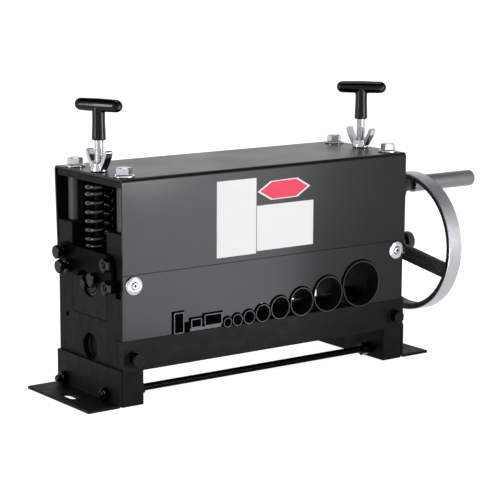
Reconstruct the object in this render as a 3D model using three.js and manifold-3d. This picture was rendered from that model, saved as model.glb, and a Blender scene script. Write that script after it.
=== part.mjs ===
// Hand crank wire stripper, as a three.js scene in millimetres with +Z up.
// X runs along the machine from its left end to the handwheel, Y runs from the front to the back.
// While the pieces are made, X is 0 at the cover's left end, Y is 0 at the front sheets
// and Z is 0 at the bench. The last group moves the origin to the middle of the base.

import * as THREE from 'three';
import { mergeVertices } from 'three/addons/utils/BufferGeometryUtils.js';
import Module from 'manifold-3d';

const wasm = await Module();
wasm.setup();

// Clearances and facets
const seat = 0.3; // gap between two pieces that touch on the real machine
const overrun = 3; // how far a cutting tool passes the face it cuts
const weld = 1.5; // how far joined solids run into each other
const wheelSides = 36;
const largeSides = 24;
const roundSides = 16;
const smallSides = 8;
const curveSteps = 4;
const hexSides = 6;

// Body
const endThickness = 20.3;
const endDepth = 96.4;
const rowInsetLeft = 26.9; // from the left end frame's inner face to the first guide
const rowInsetRight = 9.5; // from the last guide to the right end frame's inner face
const cheekRise = 20.4; // the end frames stand this much higher than the bearing blocks
const springSpace = 57.1; // from the bearing blocks up to the top bars
const seamRise = 13.5; // from the largest guide up to the seam between the cover and the lower plate
const sheet = 1.8;
const coverBend = 3.4;
const coverInnerBend = 0.8;
const coverLean = 3.6; // the back wall of the cover stands this much out at the top
const slotWidth = 53;
const slotRise = 12.3; // from the rail's top to the slots' floor
const topBarThickness = 5.2;
const topBarInset = 3.7; // the bar over each end frame reaches this far further inwards
const spacerRadius = 6;
const lowerPlateShort = 3.8; // the lower front plate stops this far before the right end
const screwRowDrop = 8.4; // from the seam down to the panel screws
const panelTapShare = 0.74; // how much of the front cheek's depth a panel screw takes
const cheekSlotWidth = 7.4; // shallow slot in the outer face of the front cheek
const cheekSlotHeight = 15;
const cheekSlotDepth = 4;
const cheekSlotRise = 4.2; // from the slot's top up to the seam
const cheekSlotInset = 1.5; // from the end frame's front face
const pinHoleRadius = 2;
const pinHoleDepth = 8;
const pinHoleDrop = 4.4; // from the slots' floor down to the pin hole
const pinHoleInset = 12.6; // from the end frame's back face

// Front rail, tie rod and feet
const railTop = 54.2;
const railHeight = 25.3;
const railThickness = 8;
const railBoltShare = 0.42; // how far up the rail its bolts sit
const footReach = 31.6;
const bracketHeight = 30.5;
const bracketThickness = 2.5;
const bracketBend = 3.2;
const bracketInnerBend = 0.7;
const benchHoleRadius = 4;
const benchHoleInset = 12.1; // from the outer edge of the foot to the hole's middle
const tieRodInset = 18.6; // from the end frame's front face to the rod
const tieRodHeight = 8.4;
const backStudInset = 13;

// Threads, as nominal radii
const m5Radius = 2.5;
const m6Radius = 3;
const m8Radius = 4;
const m6Flats = 10;
const m6HeadHeight = 4;
const m6NutHeight = 5;
const m8Flats = 13;
const m8HeadHeight = 5.6;
const washerRadius = 8;
const washerThickness = 1.6;
const threadDepth = 16; // how deep a bolt sits in a tapped hole
const panelHeadRadius = 7.8;
const panelHeadHeight = 2.6;
const panelSocketFlats = 5;
const panelSocketDepth = 1.4;
const railHeadFlange = 1.4;
const railHeadFlangeRadius = 8.4;

// Guide tubes, in order from the largest
const tubeRadii = [20.2, 15.5, 12.3, 9.9, 7.6, 6, 5.2, 4.3];
const tubeWall = 1;
const tubeGap = 0.6;
const tubeProud = 1.8; // how far the guides stand out of the lower plate
const tubeSeatDepth = 0.9; // how deep the round tubes lie in the rail
const guideClearance = 1.2; // slot in the lower plate round each guide
const flatGuides = [
  { name: 'wide_flat_guide', width: 17.9, height: 9.8, gap: 1.2, raised: true },
  { name: 'small_flat_guide', width: 10.7, height: 7.8, gap: 2.5, raised: true },
  { name: 'upright_flat_guide', width: 9.9, height: 17.5, gap: 6.8, raised: false },
];
const flatCorner = 1.6;
const packingThickness = 2.5;
const slotBridgeHeight = 8.6; // height of the slot that joins the last two flat guides

// Blade carriage
const blockAxisHeight = 27; // from the block's underside to the blade shaft
const blockHeight = 52.8;
const flangeThickness = 4;
const flangeOverlap = 8;
const flangeDrop = 3;
const keeperThickness = 5;
const keeperCorner = 8;
const bushRadius = 11;
const bushLength = 18.5;
const shaftRadius = 8;
const spigotRadius = 4;
const spigotProud = 1.8;
const driveRadius = 6;
const bladeThickness = 2.2;
const bladeBevel = 5;
const bladeGap = 2.2; // left between the blades and the groove floors
const bladeClearance = 1.2; // between the guide tubes' back ends and the blades
const bladeSpacerRadius = 12;
const keeperBoltWall = 3.5; // block left beside the back keeper bolt
const bushWall = 0.7; // block left between the bush and the front keeper bolt
const keeperBoltShares = [0.415, 0.163]; // back and front, of the way from the shaft to the block's top
const guideScrewShares = [
  [-1.245, 0.717],
  [-1.208, 0.035],
  [1.177, 0.682],
]; // of half the slot's width, and of the way from the shaft to the block's top
const longBoltReach = 10;
const screwTipReach = 1.4;

// Lower roller
const grooveRadius = 13;
const grooveDepth = 5;
const rollerBushRadius = 10.7;
const rollerBushDepth = 4; // the bush and journal sit this far inside the end frame
const journalRadius = 8;

// Adjusting screws
const screwPitch = 1.25;
const travel = 28;
const screwEndWall = 2.2; // block left between the screw's foot and the bush
const screwTopGap = 3; // handle left between the screw's top and the crossbar
const collarRadius = 6.4;
const collarThickness = 2.4;
const stemGap = 7.2; // from the wing nut's tips to the handle's stem
const stemLength = 28; // from the stem's lower end to the middle of the crossbar
const stemRadius = 5.3;
const stemTopRadius = 5;
const crossbarRadius = 5.5;
const crossbarLength = 44;
const leftHandleAngle = -64.9;
const rightHandleAngle = -44.4;

// Springs
const springWireRadius = 1.6;
const springRadius = 11.8;
const springTurns = 8;
const springEndPitch = 4.1;
const springSteps = 8;
const springSides = 5;

// Wing nuts
const wingHubRadius = 7.2;
const wingHubTopRadius = 5.8;
const wingHubHeight = 8;
const wingSpan = 29;
const wingHeight = 18;
const wingThickness = 3;
const wingTipWidth = 5;
const leftWingAngle = -86;
const rightWingAngle = -78.6;

// Handwheel
const wheelRadius = 63.1;
const rimDepth = 6;
const rimWidth = 15;
const rimChamfer = 1.2;
const rimGap = 42; // from the body's right end to the rim
const hubRadius = 13;
const hubLength = 16;
const hubGap = 18; // from the body's right end to the hub
const spokeCount = 3;
const spokeWidth = 11;
const spokeThickness = 6;
const spokeAngle = 9;
const wheelBossRadius = 6.6;
const wheelBossLength = 13.5;
const wheelBossBack = 3.5; // how far the crank boss stands behind the rim
const crankInset = 11.9; // from the rim's outside to the crank's axis
const gripRadius = 7.4;
const gripLength = 74;
const gripChamfer = 1.6;
const spindleRadius = 4;
const spindleCollarFlats = 9.4;
const spindleCollarLength = 5;
const endCapRadius = 8.6;
const endCapLength = 7.5;
const endCapWall = 3;
const shaftBeyondHub = 13;
const grubLength = 5.5;

// Places that follow from those sizes
const sum = (values) => values.reduce((total, value) => total + value, 0);
const tubeRow = sum(tubeRadii) * 2 + tubeGap * (tubeRadii.length - 1);
const flatRow = sum(flatGuides.map(({ width, gap }) => width + gap));
const rowStart = endThickness + rowInsetLeft;
const bodyLength = rowStart + flatRow + tubeRow + rowInsetRight + endThickness;
const endFront = sheet + seat;
const endBack = endFront + endDepth;
const middleY = endFront + endDepth / 2;
const endMiddleX = endThickness / 2;
const slotFront = middleY - slotWidth / 2;
const slotBack = middleY + slotWidth / 2;
const frontCheekY = (endFront + slotFront) / 2;
const backCheekY = (endBack + slotBack) / 2;
const tieRodY = endFront + tieRodInset;
const backStudY = endBack - backStudInset;
const railBottom = railTop - railHeight;
const railBoltHeight = railBottom + railHeight * railBoltShare;
const tubeBottom = railTop - tubeSeatDepth;
const grooveFloor = tubeBottom + tubeWall;
const rollerHeight = grooveFloor - grooveRadius;
const slotFloor = railTop + slotRise;
const blockBottom = slotFloor + seat;
const blockTop = blockBottom + blockHeight;
const shaftHeight = blockBottom + blockAxisHeight;
const shaftToTop = blockTop - shaftHeight;
const endHeight = blockTop + cheekRise;
const topBarBottom = blockTop + springSpace;
const topBarTop = topBarBottom + topBarThickness;
const coverHeight = topBarTop + seat + sheet;
const seamHeight = tubeBottom + Math.max(...tubeRadii) * 2 + seamRise;
const screwRowHeight = seamHeight - screwRowDrop;
const panelTap = (slotFront - endFront) * panelTapShare;
const lowerPlateLength = bodyLength - lowerPlateShort;
const keeperOuter = seat + keeperThickness;
const flangeInner = endThickness + seat + flangeThickness;
const bladeRadius = shaftHeight - grooveFloor - bladeGap;
const guideFront = -tubeProud;
const guideBack = middleY - bladeRadius - bladeClearance;
const stemBottom = coverHeight + seat + wingHeight + stemGap;
const crossbarHeight = stemBottom + stemLength;
const screwTop = crossbarHeight - crossbarRadius - screwTopGap;
const hubStart = bodyLength + hubGap;
const hubEnd = hubStart + hubLength;
const rimStart = bodyLength + rimGap;
const rimEnd = rimStart + rimWidth;
const shaftEnd = hubEnd + shaftBeyondHub;
const crankRadius = wheelRadius - crankInset;
const crankBossStart = rimStart - wheelBossBack;
const crankBossEnd = crankBossStart + wheelBossLength;
const gripStart = crankBossEnd + seat + spindleCollarLength + seat;
const gripEnd = gripStart + gripLength;

// Materials
function finish(color, roughness, metalness) {
  return new THREE.MeshStandardMaterial({ color, roughness, metalness, flatShading: true });
}
const paint = () => finish(0x2a2a2c, 0.38, 0.2);
const castBlack = () => finish(0x1c1c1d, 0.7, 0.2);
const blackSteel = () => finish(0x222224, 0.4, 0.6);
const zinc = () => finish(0xb9bcc0, 0.3, 1);
const machined = () => finish(0xa9abad, 0.28, 1);
const glossBlack = () => finish(0x0f0f10, 0.18, 0);
const springSteel = () => finish(0x8d8f92, 0.32, 1);
const bronze = () => finish(0x9a7440, 0.4, 1);
const toolSteel = () => finish(0xc4c6c8, 0.2, 1);

// Solids: three.js makes every shape, and manifold-3d joins and cuts them
function toSolid(geometry) {
  const bare = new THREE.BufferGeometry();
  bare.setAttribute('position', geometry.getAttribute('position'));
  bare.setIndex(geometry.getIndex());
  const merged = mergeVertices(bare);
  const index = merged.getIndex().array;
  const kept = [];
  for (let i = 0; i < index.length; i += 3) {
    const [a, b, c] = [index[i], index[i + 1], index[i + 2]];
    if (a !== b && b !== c && c !== a) kept.push(a, b, c);
  }
  const vertProperties = new Float32Array(merged.getAttribute('position').array);
  return new wasm.Manifold(new wasm.Mesh({ numProp: 3, vertProperties, triVerts: new Uint32Array(kept) }));
}

function toGeometry(solid) {
  const mesh = solid.getMesh();
  const geometry = new THREE.BufferGeometry();
  geometry.setAttribute('position', new THREE.BufferAttribute(new Float32Array(mesh.vertProperties), 3));
  geometry.setIndex(new THREE.BufferAttribute(new Uint32Array(mesh.triVerts), 1));
  geometry.computeVertexNormals();
  return geometry;
}

function join(...pieces) {
  return toGeometry(pieces.map(toSolid).reduce((whole, piece) => whole.add(piece)));
}

function cut(work, ...tools) {
  return toGeometry(tools.map(toSolid).reduce((rest, tool) => rest.subtract(tool), toSolid(work)));
}

// Shapes
function box(x0, x1, y0, y1, z0, z1) {
  const block = new THREE.BoxGeometry(x1 - x0, y1 - y0, z1 - z0);
  return block.translate((x0 + x1) / 2, (y0 + y1) / 2, (z0 + z1) / 2);
}

function rodX(radius, x0, x1, y, z, sides = roundSides) {
  const rod = new THREE.CylinderGeometry(radius, radius, x1 - x0, sides);
  return rod.rotateZ(-Math.PI / 2).translate((x0 + x1) / 2, y, z);
}

function rodY(radius, y0, y1, x, z, sides = roundSides) {
  const rod = new THREE.CylinderGeometry(radius, radius, y1 - y0, sides);
  return rod.translate(x, (y0 + y1) / 2, z);
}

function rodZ(radius, z0, z1, x, y, sides = roundSides) {
  const rod = new THREE.CylinderGeometry(radius, radius, z1 - z0, sides);
  return rod.rotateX(Math.PI / 2).translate(x, y, (z0 + z1) / 2);
}

// A turned piece: each point is a radius and a place along the axis
function turned(profile, sides) {
  const points = profile.map(([radius, along]) => new THREE.Vector2(radius, along));
  return new THREE.LatheGeometry(points, sides);
}

function turnedX(profile, y, z, sides = roundSides) {
  return turned(profile, sides).rotateZ(-Math.PI / 2).translate(0, y, z);
}

function turnedZ(profile, x, y, sides = roundSides) {
  return turned(profile, sides).rotateX(Math.PI / 2).translate(x, y, 0);
}

// A flat outline drawn in Y and Z, given a thickness along X
function slabX(shape, x0, x1) {
  const options = { depth: x1 - x0, bevelEnabled: false, curveSegments: curveSteps };
  const axes = new THREE.Matrix4().makeBasis(
    new THREE.Vector3(0, 1, 0),
    new THREE.Vector3(0, 0, 1),
    new THREE.Vector3(1, 0, 0),
  );
  return new THREE.ExtrudeGeometry(shape, options).applyMatrix4(axes).translate(x0, 0, 0);
}

// A flat outline drawn in X and Z, given a thickness along Y
function slabY(shape, y0, y1) {
  const options = { depth: y1 - y0, bevelEnabled: false, curveSegments: curveSteps };
  const axes = new THREE.Matrix4().makeBasis(
    new THREE.Vector3(1, 0, 0),
    new THREE.Vector3(0, 0, 1),
    new THREE.Vector3(0, -1, 0),
  );
  return new THREE.ExtrudeGeometry(shape, options).applyMatrix4(axes).translate(0, y1, 0);
}

function outline(points) {
  return new THREE.Shape(points.map(([u, v]) => new THREE.Vector2(u, v)));
}

function roundedRectangle(left, right, bottom, top, corner) {
  const shape = new THREE.Shape();
  shape.moveTo(left + corner, bottom);
  shape.lineTo(right - corner, bottom);
  shape.quadraticCurveTo(right, bottom, right, bottom + corner);
  shape.lineTo(right, top - corner);
  shape.quadraticCurveTo(right, top, right - corner, top);
  shape.lineTo(left + corner, top);
  shape.quadraticCurveTo(left, top, left, top - corner);
  shape.lineTo(left, bottom + corner);
  shape.quadraticCurveTo(left, bottom, left + corner, bottom);
  return shape;
}

// A piece of the right end is the same piece of the left end, seen in a mirror
function mirrored(geometry) {
  const flipped = geometry.clone().scale(-1, 1, 1).translate(bodyLength, 0, 0);
  const index = flipped.getIndex().array;
  for (let i = 0; i < index.length; i += 3) {
    [index[i], index[i + 1]] = [index[i + 1], index[i]];
  }
  return flipped;
}

// A hexagon head or nut on the Z axis from 0 to its height
function hexagon(flats, height) {
  const cornerRadius = flats / 2 / Math.cos(Math.PI / hexSides);
  return rodZ(cornerRadius, 0, height, 0, 0, hexSides);
}

function hexagonTowardLeft(flats, height, x, y, z) {
  return hexagon(flats, height).rotateY(-Math.PI / 2).translate(x, y, z);
}

function hexagonTowardFront(flats, height, x, y, z) {
  return hexagon(flats, height).rotateX(Math.PI / 2).translate(x, y, z);
}

function place(parent, name, geometry, material) {
  const mesh = new THREE.Mesh(geometry, material);
  mesh.name = name;
  parent.add(mesh);
  return mesh;
}

const body = new THREE.Group();

// Two copies of a piece, one at each end of the machine
function placePair(name, geometry, makeMaterial) {
  place(body, `left_${name}`, geometry, makeMaterial());
  place(body, `right_${name}`, mirrored(geometry), makeMaterial());
}

// End frames
function endFrame() {
  const plate = outline([
    [endFront, 0],
    [endBack, 0],
    [endBack, endHeight],
    [slotBack, endHeight],
    [slotBack, slotFloor],
    [slotFront, slotFloor],
    [slotFront, endHeight],
    [endFront, endHeight],
  ]);
  const rebate = box(
    -overrun,
    endThickness + overrun,
    endFront - overrun,
    railThickness + seat,
    railBottom - seat,
    railTop + seat,
  );
  const tapDepth = threadDepth + seat;
  const cheekSlot = box(
    -overrun,
    cheekSlotDepth,
    endFront + cheekSlotInset,
    endFront + cheekSlotInset + cheekSlotWidth,
    seamHeight - cheekSlotRise - cheekSlotHeight,
    seamHeight - cheekSlotRise,
  );
  const holes = [
    rodX(pinHoleRadius, -overrun, pinHoleDepth, endBack - pinHoleInset, slotFloor - pinHoleDrop),
    rodX(rollerBushRadius + seat, -overrun, endThickness + overrun, middleY, rollerHeight),
    rodX(m6Radius + seat, -overrun, endThickness + overrun, tieRodY, tieRodHeight, smallSides),
    rodX(m6Radius + seat, -overrun, endThickness + overrun, backStudY, tieRodHeight, smallSides),
    rodY(m8Radius + seat, railThickness, railThickness + tapDepth, endMiddleX, railBoltHeight, smallSides),
    rodY(m8Radius + seat, endFront - overrun, endFront + panelTap + seat, endMiddleX, screwRowHeight),
  ];
  for (const y of [frontCheekY, backCheekY]) {
    holes.push(rodZ(m8Radius + seat, endHeight - tapDepth, endHeight + overrun, endMiddleX, y, smallSides));
  }
  return cut(slabX(plate, 0, endThickness), rebate, cheekSlot, ...holes);
}

placePair('end_frame', endFrame(), paint);

// Foot brackets: bent angles with a hole for a bench bolt
function footBracket() {
  const face = -seat;
  const inside = face - bracketThickness;
  const angle = new THREE.Shape();
  angle.moveTo(-footReach, 0);
  angle.lineTo(face - bracketBend, 0);
  angle.quadraticCurveTo(face, 0, face, bracketBend);
  angle.lineTo(face, bracketHeight);
  angle.lineTo(inside, bracketHeight);
  angle.lineTo(inside, bracketThickness + bracketInnerBend);
  angle.quadraticCurveTo(inside, bracketThickness, inside - bracketInnerBend, bracketThickness);
  angle.lineTo(-footReach, bracketThickness);
  const holeX = -footReach + benchHoleInset;
  return cut(
    slabY(angle, endFront, endBack),
    rodZ(benchHoleRadius, -overrun, bracketThickness + overrun, holeX, middleY),
    rodX(m6Radius + seat, inside - overrun, face + overrun, tieRodY, tieRodHeight, smallSides),
    rodX(m6Radius + seat, inside - overrun, face + overrun, backStudY, tieRodHeight, smallSides),
  );
}

placePair('foot_bracket', footBracket(), paint);

// The tie rod, with its nuts, holds the end frames apart and the fronts of the feet on.
// Each foot has a stud with a nut at its back.
const bracketOuter = bracketThickness + seat;
const nutReach = bracketOuter + seat + m6NutHeight;

function tieRod() {
  const end = nutReach + m6Radius / 2;
  const rod = rodX(m6Radius, -end, bodyLength + end, tieRodY, tieRodHeight, smallSides);
  const innerStart = endThickness + seat + m6NutHeight;
  const outerNut = hexagonTowardLeft(m6Flats, m6NutHeight, -bracketOuter - seat, tieRodY, tieRodHeight);
  const innerNut = hexagonTowardLeft(m6Flats, m6NutHeight, innerStart, tieRodY, tieRodHeight);
  const lockNut = innerNut.clone().translate(m6NutHeight + seat, 0, 0);
  return join(rod, outerNut, innerNut, lockNut, mirrored(outerNut), mirrored(innerNut));
}

place(body, 'tie_rod', tieRod(), blackSteel());

function backStud() {
  const outerFace = -bracketOuter - seat;
  const tip = outerFace - m6NutHeight - m6HeadHeight;
  const stud = rodX(m6Radius, tip, endThickness - seat, backStudY, tieRodHeight, smallSides);
  return join(stud, hexagonTowardLeft(m6Flats, m6NutHeight, outerFace, backStudY, tieRodHeight));
}

placePair('back_stud', backStud(), blackSteel);

// Guides: eight round tubes side by side, then three flat ones
const tubes = [];
tubeRadii.forEach((radius, i) => {
  const before = tubes[i - 1];
  const rightEdge = before ? before.x - before.radius - tubeGap : bodyLength - endThickness - rowInsetRight;
  tubes.push({ x: rightEdge - radius, radius, z: tubeBottom + radius });
});
tubes.forEach(({ x, radius, z }, i) => {
  const sides = i < tubes.length / 2 ? largeSides : roundSides;
  const tube = cut(
    rodY(radius, guideFront, guideBack, x, z, sides),
    rodY(radius - tubeWall, guideFront - overrun, guideBack + overrun, x, z, sides),
  );
  place(body, `guide_tube_${i + 1}`, tube, blackSteel());
});

const lastTube = tubes[tubes.length - 1];
let nextEdge = lastTube.x - lastTube.radius;
const flats = flatGuides.map(({ name, width, height, gap, raised }) => {
  const right = nextEdge - gap;
  const left = right - width;
  const bottom = railTop + seat + (raised ? packingThickness + seat : 0);
  nextEdge = left;
  return { name, left, right, bottom, top: bottom + height, middle: (left + right) / 2 };
});
for (const { name, left, right, bottom, top } of flats) {
  const outer = roundedRectangle(left, right, bottom, top, flatCorner);
  const innerCorner = flatCorner - tubeWall / 2;
  const inner = roundedRectangle(
    left + tubeWall,
    right - tubeWall,
    bottom + tubeWall,
    top - tubeWall,
    innerCorner,
  );
  const tube = cut(slabY(outer, guideFront, guideBack), slabY(inner, guideFront - overrun, guideBack + overrun));
  place(body, name, tube, blackSteel());
}

const [wideFlat, smallFlat, uprightFlat] = flats;
place(
  body,
  'guide_packing_strip',
  box(smallFlat.left, wideFlat.right, 0, guideBack, railTop + seat, railTop + seat + packingThickness),
  machined(),
);

// Front rail, with a shallow saddle under each round tube
function frontRail() {
  const bar = box(0, bodyLength, 0, railThickness, railBottom, railTop);
  const saddles = tubes.map(({ x, radius, z }) => {
    return rodY(radius + seat, -overrun, railThickness + overrun, x, z, largeSides);
  });
  const holes = [endMiddleX, bodyLength - endMiddleX].map((x) => {
    return rodY(m8Radius + seat, -overrun, railThickness + overrun, x, railBoltHeight, smallSides);
  });
  return cut(bar, ...saddles, ...holes);
}

place(body, 'front_rail', frontRail(), paint());

function railBolt() {
  const flange = rodY(railHeadFlangeRadius, -seat - railHeadFlange, -seat, endMiddleX, railBoltHeight);
  const shank = rodY(
    m8Radius,
    -seat - railHeadFlange,
    railThickness + threadDepth,
    endMiddleX,
    railBoltHeight,
    smallSides,
  );
  const headFace = -seat - railHeadFlange / 2;
  const head = hexagonTowardFront(m8Flats, m8HeadHeight + railHeadFlange / 2, endMiddleX, headFace, railBoltHeight);
  return join(flange, shank, head);
}

placePair('rail_bolt', railBolt(), blackSteel);

// Lower front plate, cut out round the guides
function lowerPlate() {
  const bottom = railTop + seat;
  const plate = box(0, lowerPlateLength, 0, sheet, bottom, seamHeight - seat);
  const below = bottom - overrun;
  const cutBox = (x0, x1, top) => box(x0, x1, -overrun, sheet + overrun, below, top);
  const tools = tubes.map(({ x, radius, z }) => {
    return rodY(radius + guideClearance, -overrun, sheet + overrun, x, z, largeSides);
  });
  tubes.slice(1).forEach((tube, i) => tools.push(cutBox(tube.x, tubes[i].x, tube.z)));
  for (const { left, right, top } of flats) {
    tools.push(cutBox(left - guideClearance, right + guideClearance, top + guideClearance));
  }
  tools.push(cutBox(wideFlat.right, lastTube.x, lastTube.z));
  tools.push(cutBox(smallFlat.right, wideFlat.left, smallFlat.top + guideClearance));
  tools.push(cutBox(uprightFlat.right, smallFlat.left, bottom + slotBridgeHeight));
  for (const x of [endMiddleX, bodyLength - endMiddleX]) {
    tools.push(rodY(m8Radius + seat, -overrun, sheet + overrun, x, screwRowHeight));
  }
  return cut(plate, ...tools);
}

place(body, 'lower_front_plate', lowerPlate(), paint());

// Flat round-headed socket screws hold the lower plate
function panelScrew() {
  const head = -seat - panelHeadHeight;
  const profile = [
    [0, -head],
    [panelHeadRadius / 2, -head],
    [panelHeadRadius, seat + panelHeadHeight / 3],
    [panelHeadRadius, seat],
    [m8Radius, seat],
    [m8Radius, -endFront - panelTap],
    [0, -endFront - panelTap],
  ];
  const screw = turned(profile.reverse(), roundSides).rotateX(Math.PI);
  const socket = hexagon(panelSocketFlats, panelSocketDepth + overrun).rotateX(Math.PI / 2);
  socket.translate(0, head + panelSocketDepth, 0);
  return cut(screw, socket).translate(endMiddleX, 0, screwRowHeight);
}

placePair('panel_screw', panelScrew(), zinc);

// Cover: one bent sheet for the front, the top and the back
function cover() {
  const bottom = seamHeight;
  const top = coverHeight;
  const backBottom = endBack + seat + sheet;
  const backTop = backBottom + coverLean;
  const bend = coverBend;
  const inside = coverInnerBend;
  const slope = coverLean / (top - bottom);
  const section = new THREE.Shape();
  section.moveTo(0, bottom);
  section.lineTo(sheet, bottom);
  section.lineTo(sheet, top - sheet - inside);
  section.quadraticCurveTo(sheet, top - sheet, sheet + inside, top - sheet);
  section.lineTo(backTop - sheet - inside, top - sheet);
  section.quadraticCurveTo(backTop - sheet, top - sheet, backTop - sheet - slope * bend, top - sheet - inside);
  section.lineTo(backBottom - sheet, bottom);
  section.lineTo(backBottom, bottom);
  section.lineTo(backTop - slope * bend, top - bend);
  section.quadraticCurveTo(backTop, top, backTop - bend, top);
  section.lineTo(bend, top);
  section.quadraticCurveTo(0, top, 0, top - bend);
  const holes = [];
  for (const x of [endMiddleX, bodyLength - endMiddleX]) {
    for (const y of [frontCheekY, middleY, backCheekY]) {
      holes.push(rodZ(m8Radius + seat, top - sheet - overrun, top + overrun, x, y, roundSides));
    }
  }
  return cut(slabX(section, 0, bodyLength), ...holes);
}

place(body, 'cover', cover(), paint());

// Bars under the cover's ends, on round spacers and held by four bolts
function topBar() {
  const bar = box(0, endThickness + topBarInset, endFront, endBack, topBarBottom, topBarTop);
  const holes = [frontCheekY, middleY, backCheekY].map((y) => {
    return rodZ(m8Radius + seat, topBarBottom - overrun, topBarTop + overrun, endMiddleX, y, roundSides);
  });
  return cut(bar, ...holes);
}

placePair('top_bar', topBar(), paint);

function topSpacer(y) {
  const tube = rodZ(spacerRadius, endHeight + seat, topBarBottom - seat, endMiddleX, y);
  return cut(tube, rodZ(m8Radius + seat, endHeight, topBarBottom, endMiddleX, y));
}

// A hexagon bolt with its washer
function topBolt(y) {
  const washerBase = coverHeight + seat;
  const headBase = washerBase + washerThickness;
  const washer = rodZ(washerRadius, washerBase, headBase, endMiddleX, y);
  const shank = rodZ(m8Radius, endHeight - threadDepth, headBase + weld, endMiddleX, y, smallSides);
  return join(shank, washer, hexagon(m8Flats, m8HeadHeight).translate(endMiddleX, y, headBase));
}

for (const [end, y] of [
  ['front', frontCheekY],
  ['back', backCheekY],
]) {
  placePair(`${end}_top_spacer`, topSpacer(y), machined);
  placePair(`${end}_top_bolt`, topBolt(y), zinc);
}

// Wing nuts that lock the adjusting screws, each on its own axis
const wingShares = [
  [0.14, 0.1],
  [0.46, 0.1],
  [0.62, 0.34],
  [0.95, 0.8],
  [1, 0.9],
  [0.94, 0.97],
];
const wingRootShare = 0.52;

function wingNut() {
  const hub = turnedZ(
    [
      [0, 0],
      [wingHubRadius, 0],
      [wingHubRadius, wingHubHeight / 3],
      [wingHubTopRadius, wingHubHeight],
      [0, wingHubHeight],
    ],
    0,
    0,
  );
  const half = wingSpan / 2;
  const outer = wingShares.map(([along, up]) => [half * along, wingHeight * up]);
  const tipIn = half - wingTipWidth;
  const wing = outline([...outer, [tipIn, wingHeight], [spindleRadius + weld, wingHeight * wingRootShare]]);
  const right = slabY(wing, -wingThickness / 2, wingThickness / 2);
  const left = right.clone().rotateZ(Math.PI);
  const bore = rodZ(m8Radius + seat, -overrun, wingHeight + overrun, 0, 0);
  return cut(join(hub, right, left), bore);
}

for (const [name, x, angle] of [
  ['left_wing_nut', endMiddleX, leftWingAngle],
  ['right_wing_nut', bodyLength - endMiddleX, rightWingAngle],
]) {
  const nut = place(body, name, wingNut(), zinc());
  nut.position.set(x, middleY, coverHeight + seat);
  nut.rotation.z = THREE.MathUtils.degToRad(angle);
}

// Adjusting screws with T handles. Each screw's foot turns in its bearing block, under a collar.
const screwFoot = shaftHeight + bushRadius + seat + screwEndWall;
const collarBottom = blockTop + seat;

function adjustingScrew() {
  const profile = [
    [0, screwFoot],
    [m8Radius, screwFoot],
    [m8Radius, collarBottom],
    [collarRadius, collarBottom],
    [collarRadius, collarBottom + collarThickness],
    [m8Radius, collarBottom + collarThickness],
    [m8Radius, screwTop],
    [0, screwTop],
  ];
  return turnedZ(profile, 0, 0, roundSides);
}

function tHandle() {
  const straight = crossbarLength - crossbarRadius - crossbarRadius;
  const bar = new THREE.CapsuleGeometry(crossbarRadius, straight, curveSteps, roundSides);
  bar.rotateZ(Math.PI / 2).translate(0, 0, crossbarHeight);
  const stem = turnedZ(
    [
      [0, stemBottom],
      [stemRadius, stemBottom],
      [stemTopRadius, crossbarHeight],
      [0, crossbarHeight],
    ],
    0,
    0,
  );
  return cut(join(bar, stem), rodZ(m8Radius + seat, stemBottom - overrun, screwTop + seat, 0, 0));
}

for (const [side, x, angle] of [
  ['left', endMiddleX, leftHandleAngle],
  ['right', bodyLength - endMiddleX, rightHandleAngle],
]) {
  const screwGroup = new THREE.Group();
  screwGroup.position.set(x, middleY, 0);
  screwGroup.rotation.z = THREE.MathUtils.degToRad(angle);
  body.add(screwGroup);
  place(screwGroup, `${side}_adjusting_screw`, adjustingScrew(), zinc());
  place(screwGroup, `${side}_t_handle`, tHandle(), glossBlack());
}

// Springs round the adjusting screws, between the bearing blocks and the top bars
function coilSpring(bottom, top) {
  const middleRadius = springRadius - springWireRadius;
  const rise = top - bottom - springWireRadius * 2;
  const activePitch = (rise - springEndPitch * 2) / (springTurns - 2);
  const heightAt = (turn) => {
    if (turn <= 1) return turn * springEndPitch;
    if (turn >= springTurns - 1) return rise - (springTurns - turn) * springEndPitch;
    return springEndPitch + (turn - 1) * activePitch;
  };
  const positions = [];
  const count = springTurns * springSteps;
  for (let step = 0; step <= count; step += 1) {
    const turn = step / springSteps;
    const angle = turn * Math.PI * 2;
    for (let side = 0; side < springSides; side += 1) {
      const around = (side / springSides) * Math.PI * 2;
      const radius = middleRadius + springWireRadius * Math.cos(around);
      const z = bottom + springWireRadius + heightAt(turn) + springWireRadius * Math.sin(around);
      positions.push(radius * Math.cos(angle), radius * Math.sin(angle), z);
    }
  }
  const index = [];
  for (let step = 0; step < count; step += 1) {
    for (let side = 0; side < springSides; side += 1) {
      const a = step * springSides + side;
      const b = step * springSides + ((side + 1) % springSides);
      index.push(a, a + springSides, b, b, a + springSides, b + springSides);
    }
  }
  const last = count * springSides;
  for (let side = 1; side < springSides - 1; side += 1) {
    index.push(0, side, side + 1);
    index.push(last, last + side + 1, last + side);
  }
  const spring = new THREE.BufferGeometry();
  spring.setAttribute('position', new THREE.Float32BufferAttribute(positions, 3));
  spring.setIndex(index);
  return spring;
}

// The least distance between points of the spring that are half a turn or more apart along it
function leastGap(spring) {
  const points = spring.getAttribute('position');
  const apart = (springSteps / 2) * springSides;
  const [a, b] = [new THREE.Vector3(), new THREE.Vector3()];
  let least = Infinity;
  for (let i = 0; i < points.count; i += 1) {
    for (let j = i + apart; j < points.count; j += 1) {
      least = Math.min(least, a.fromBufferAttribute(points, i).distanceTo(b.fromBufferAttribute(points, j)));
    }
  }
  return least;
}

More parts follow.
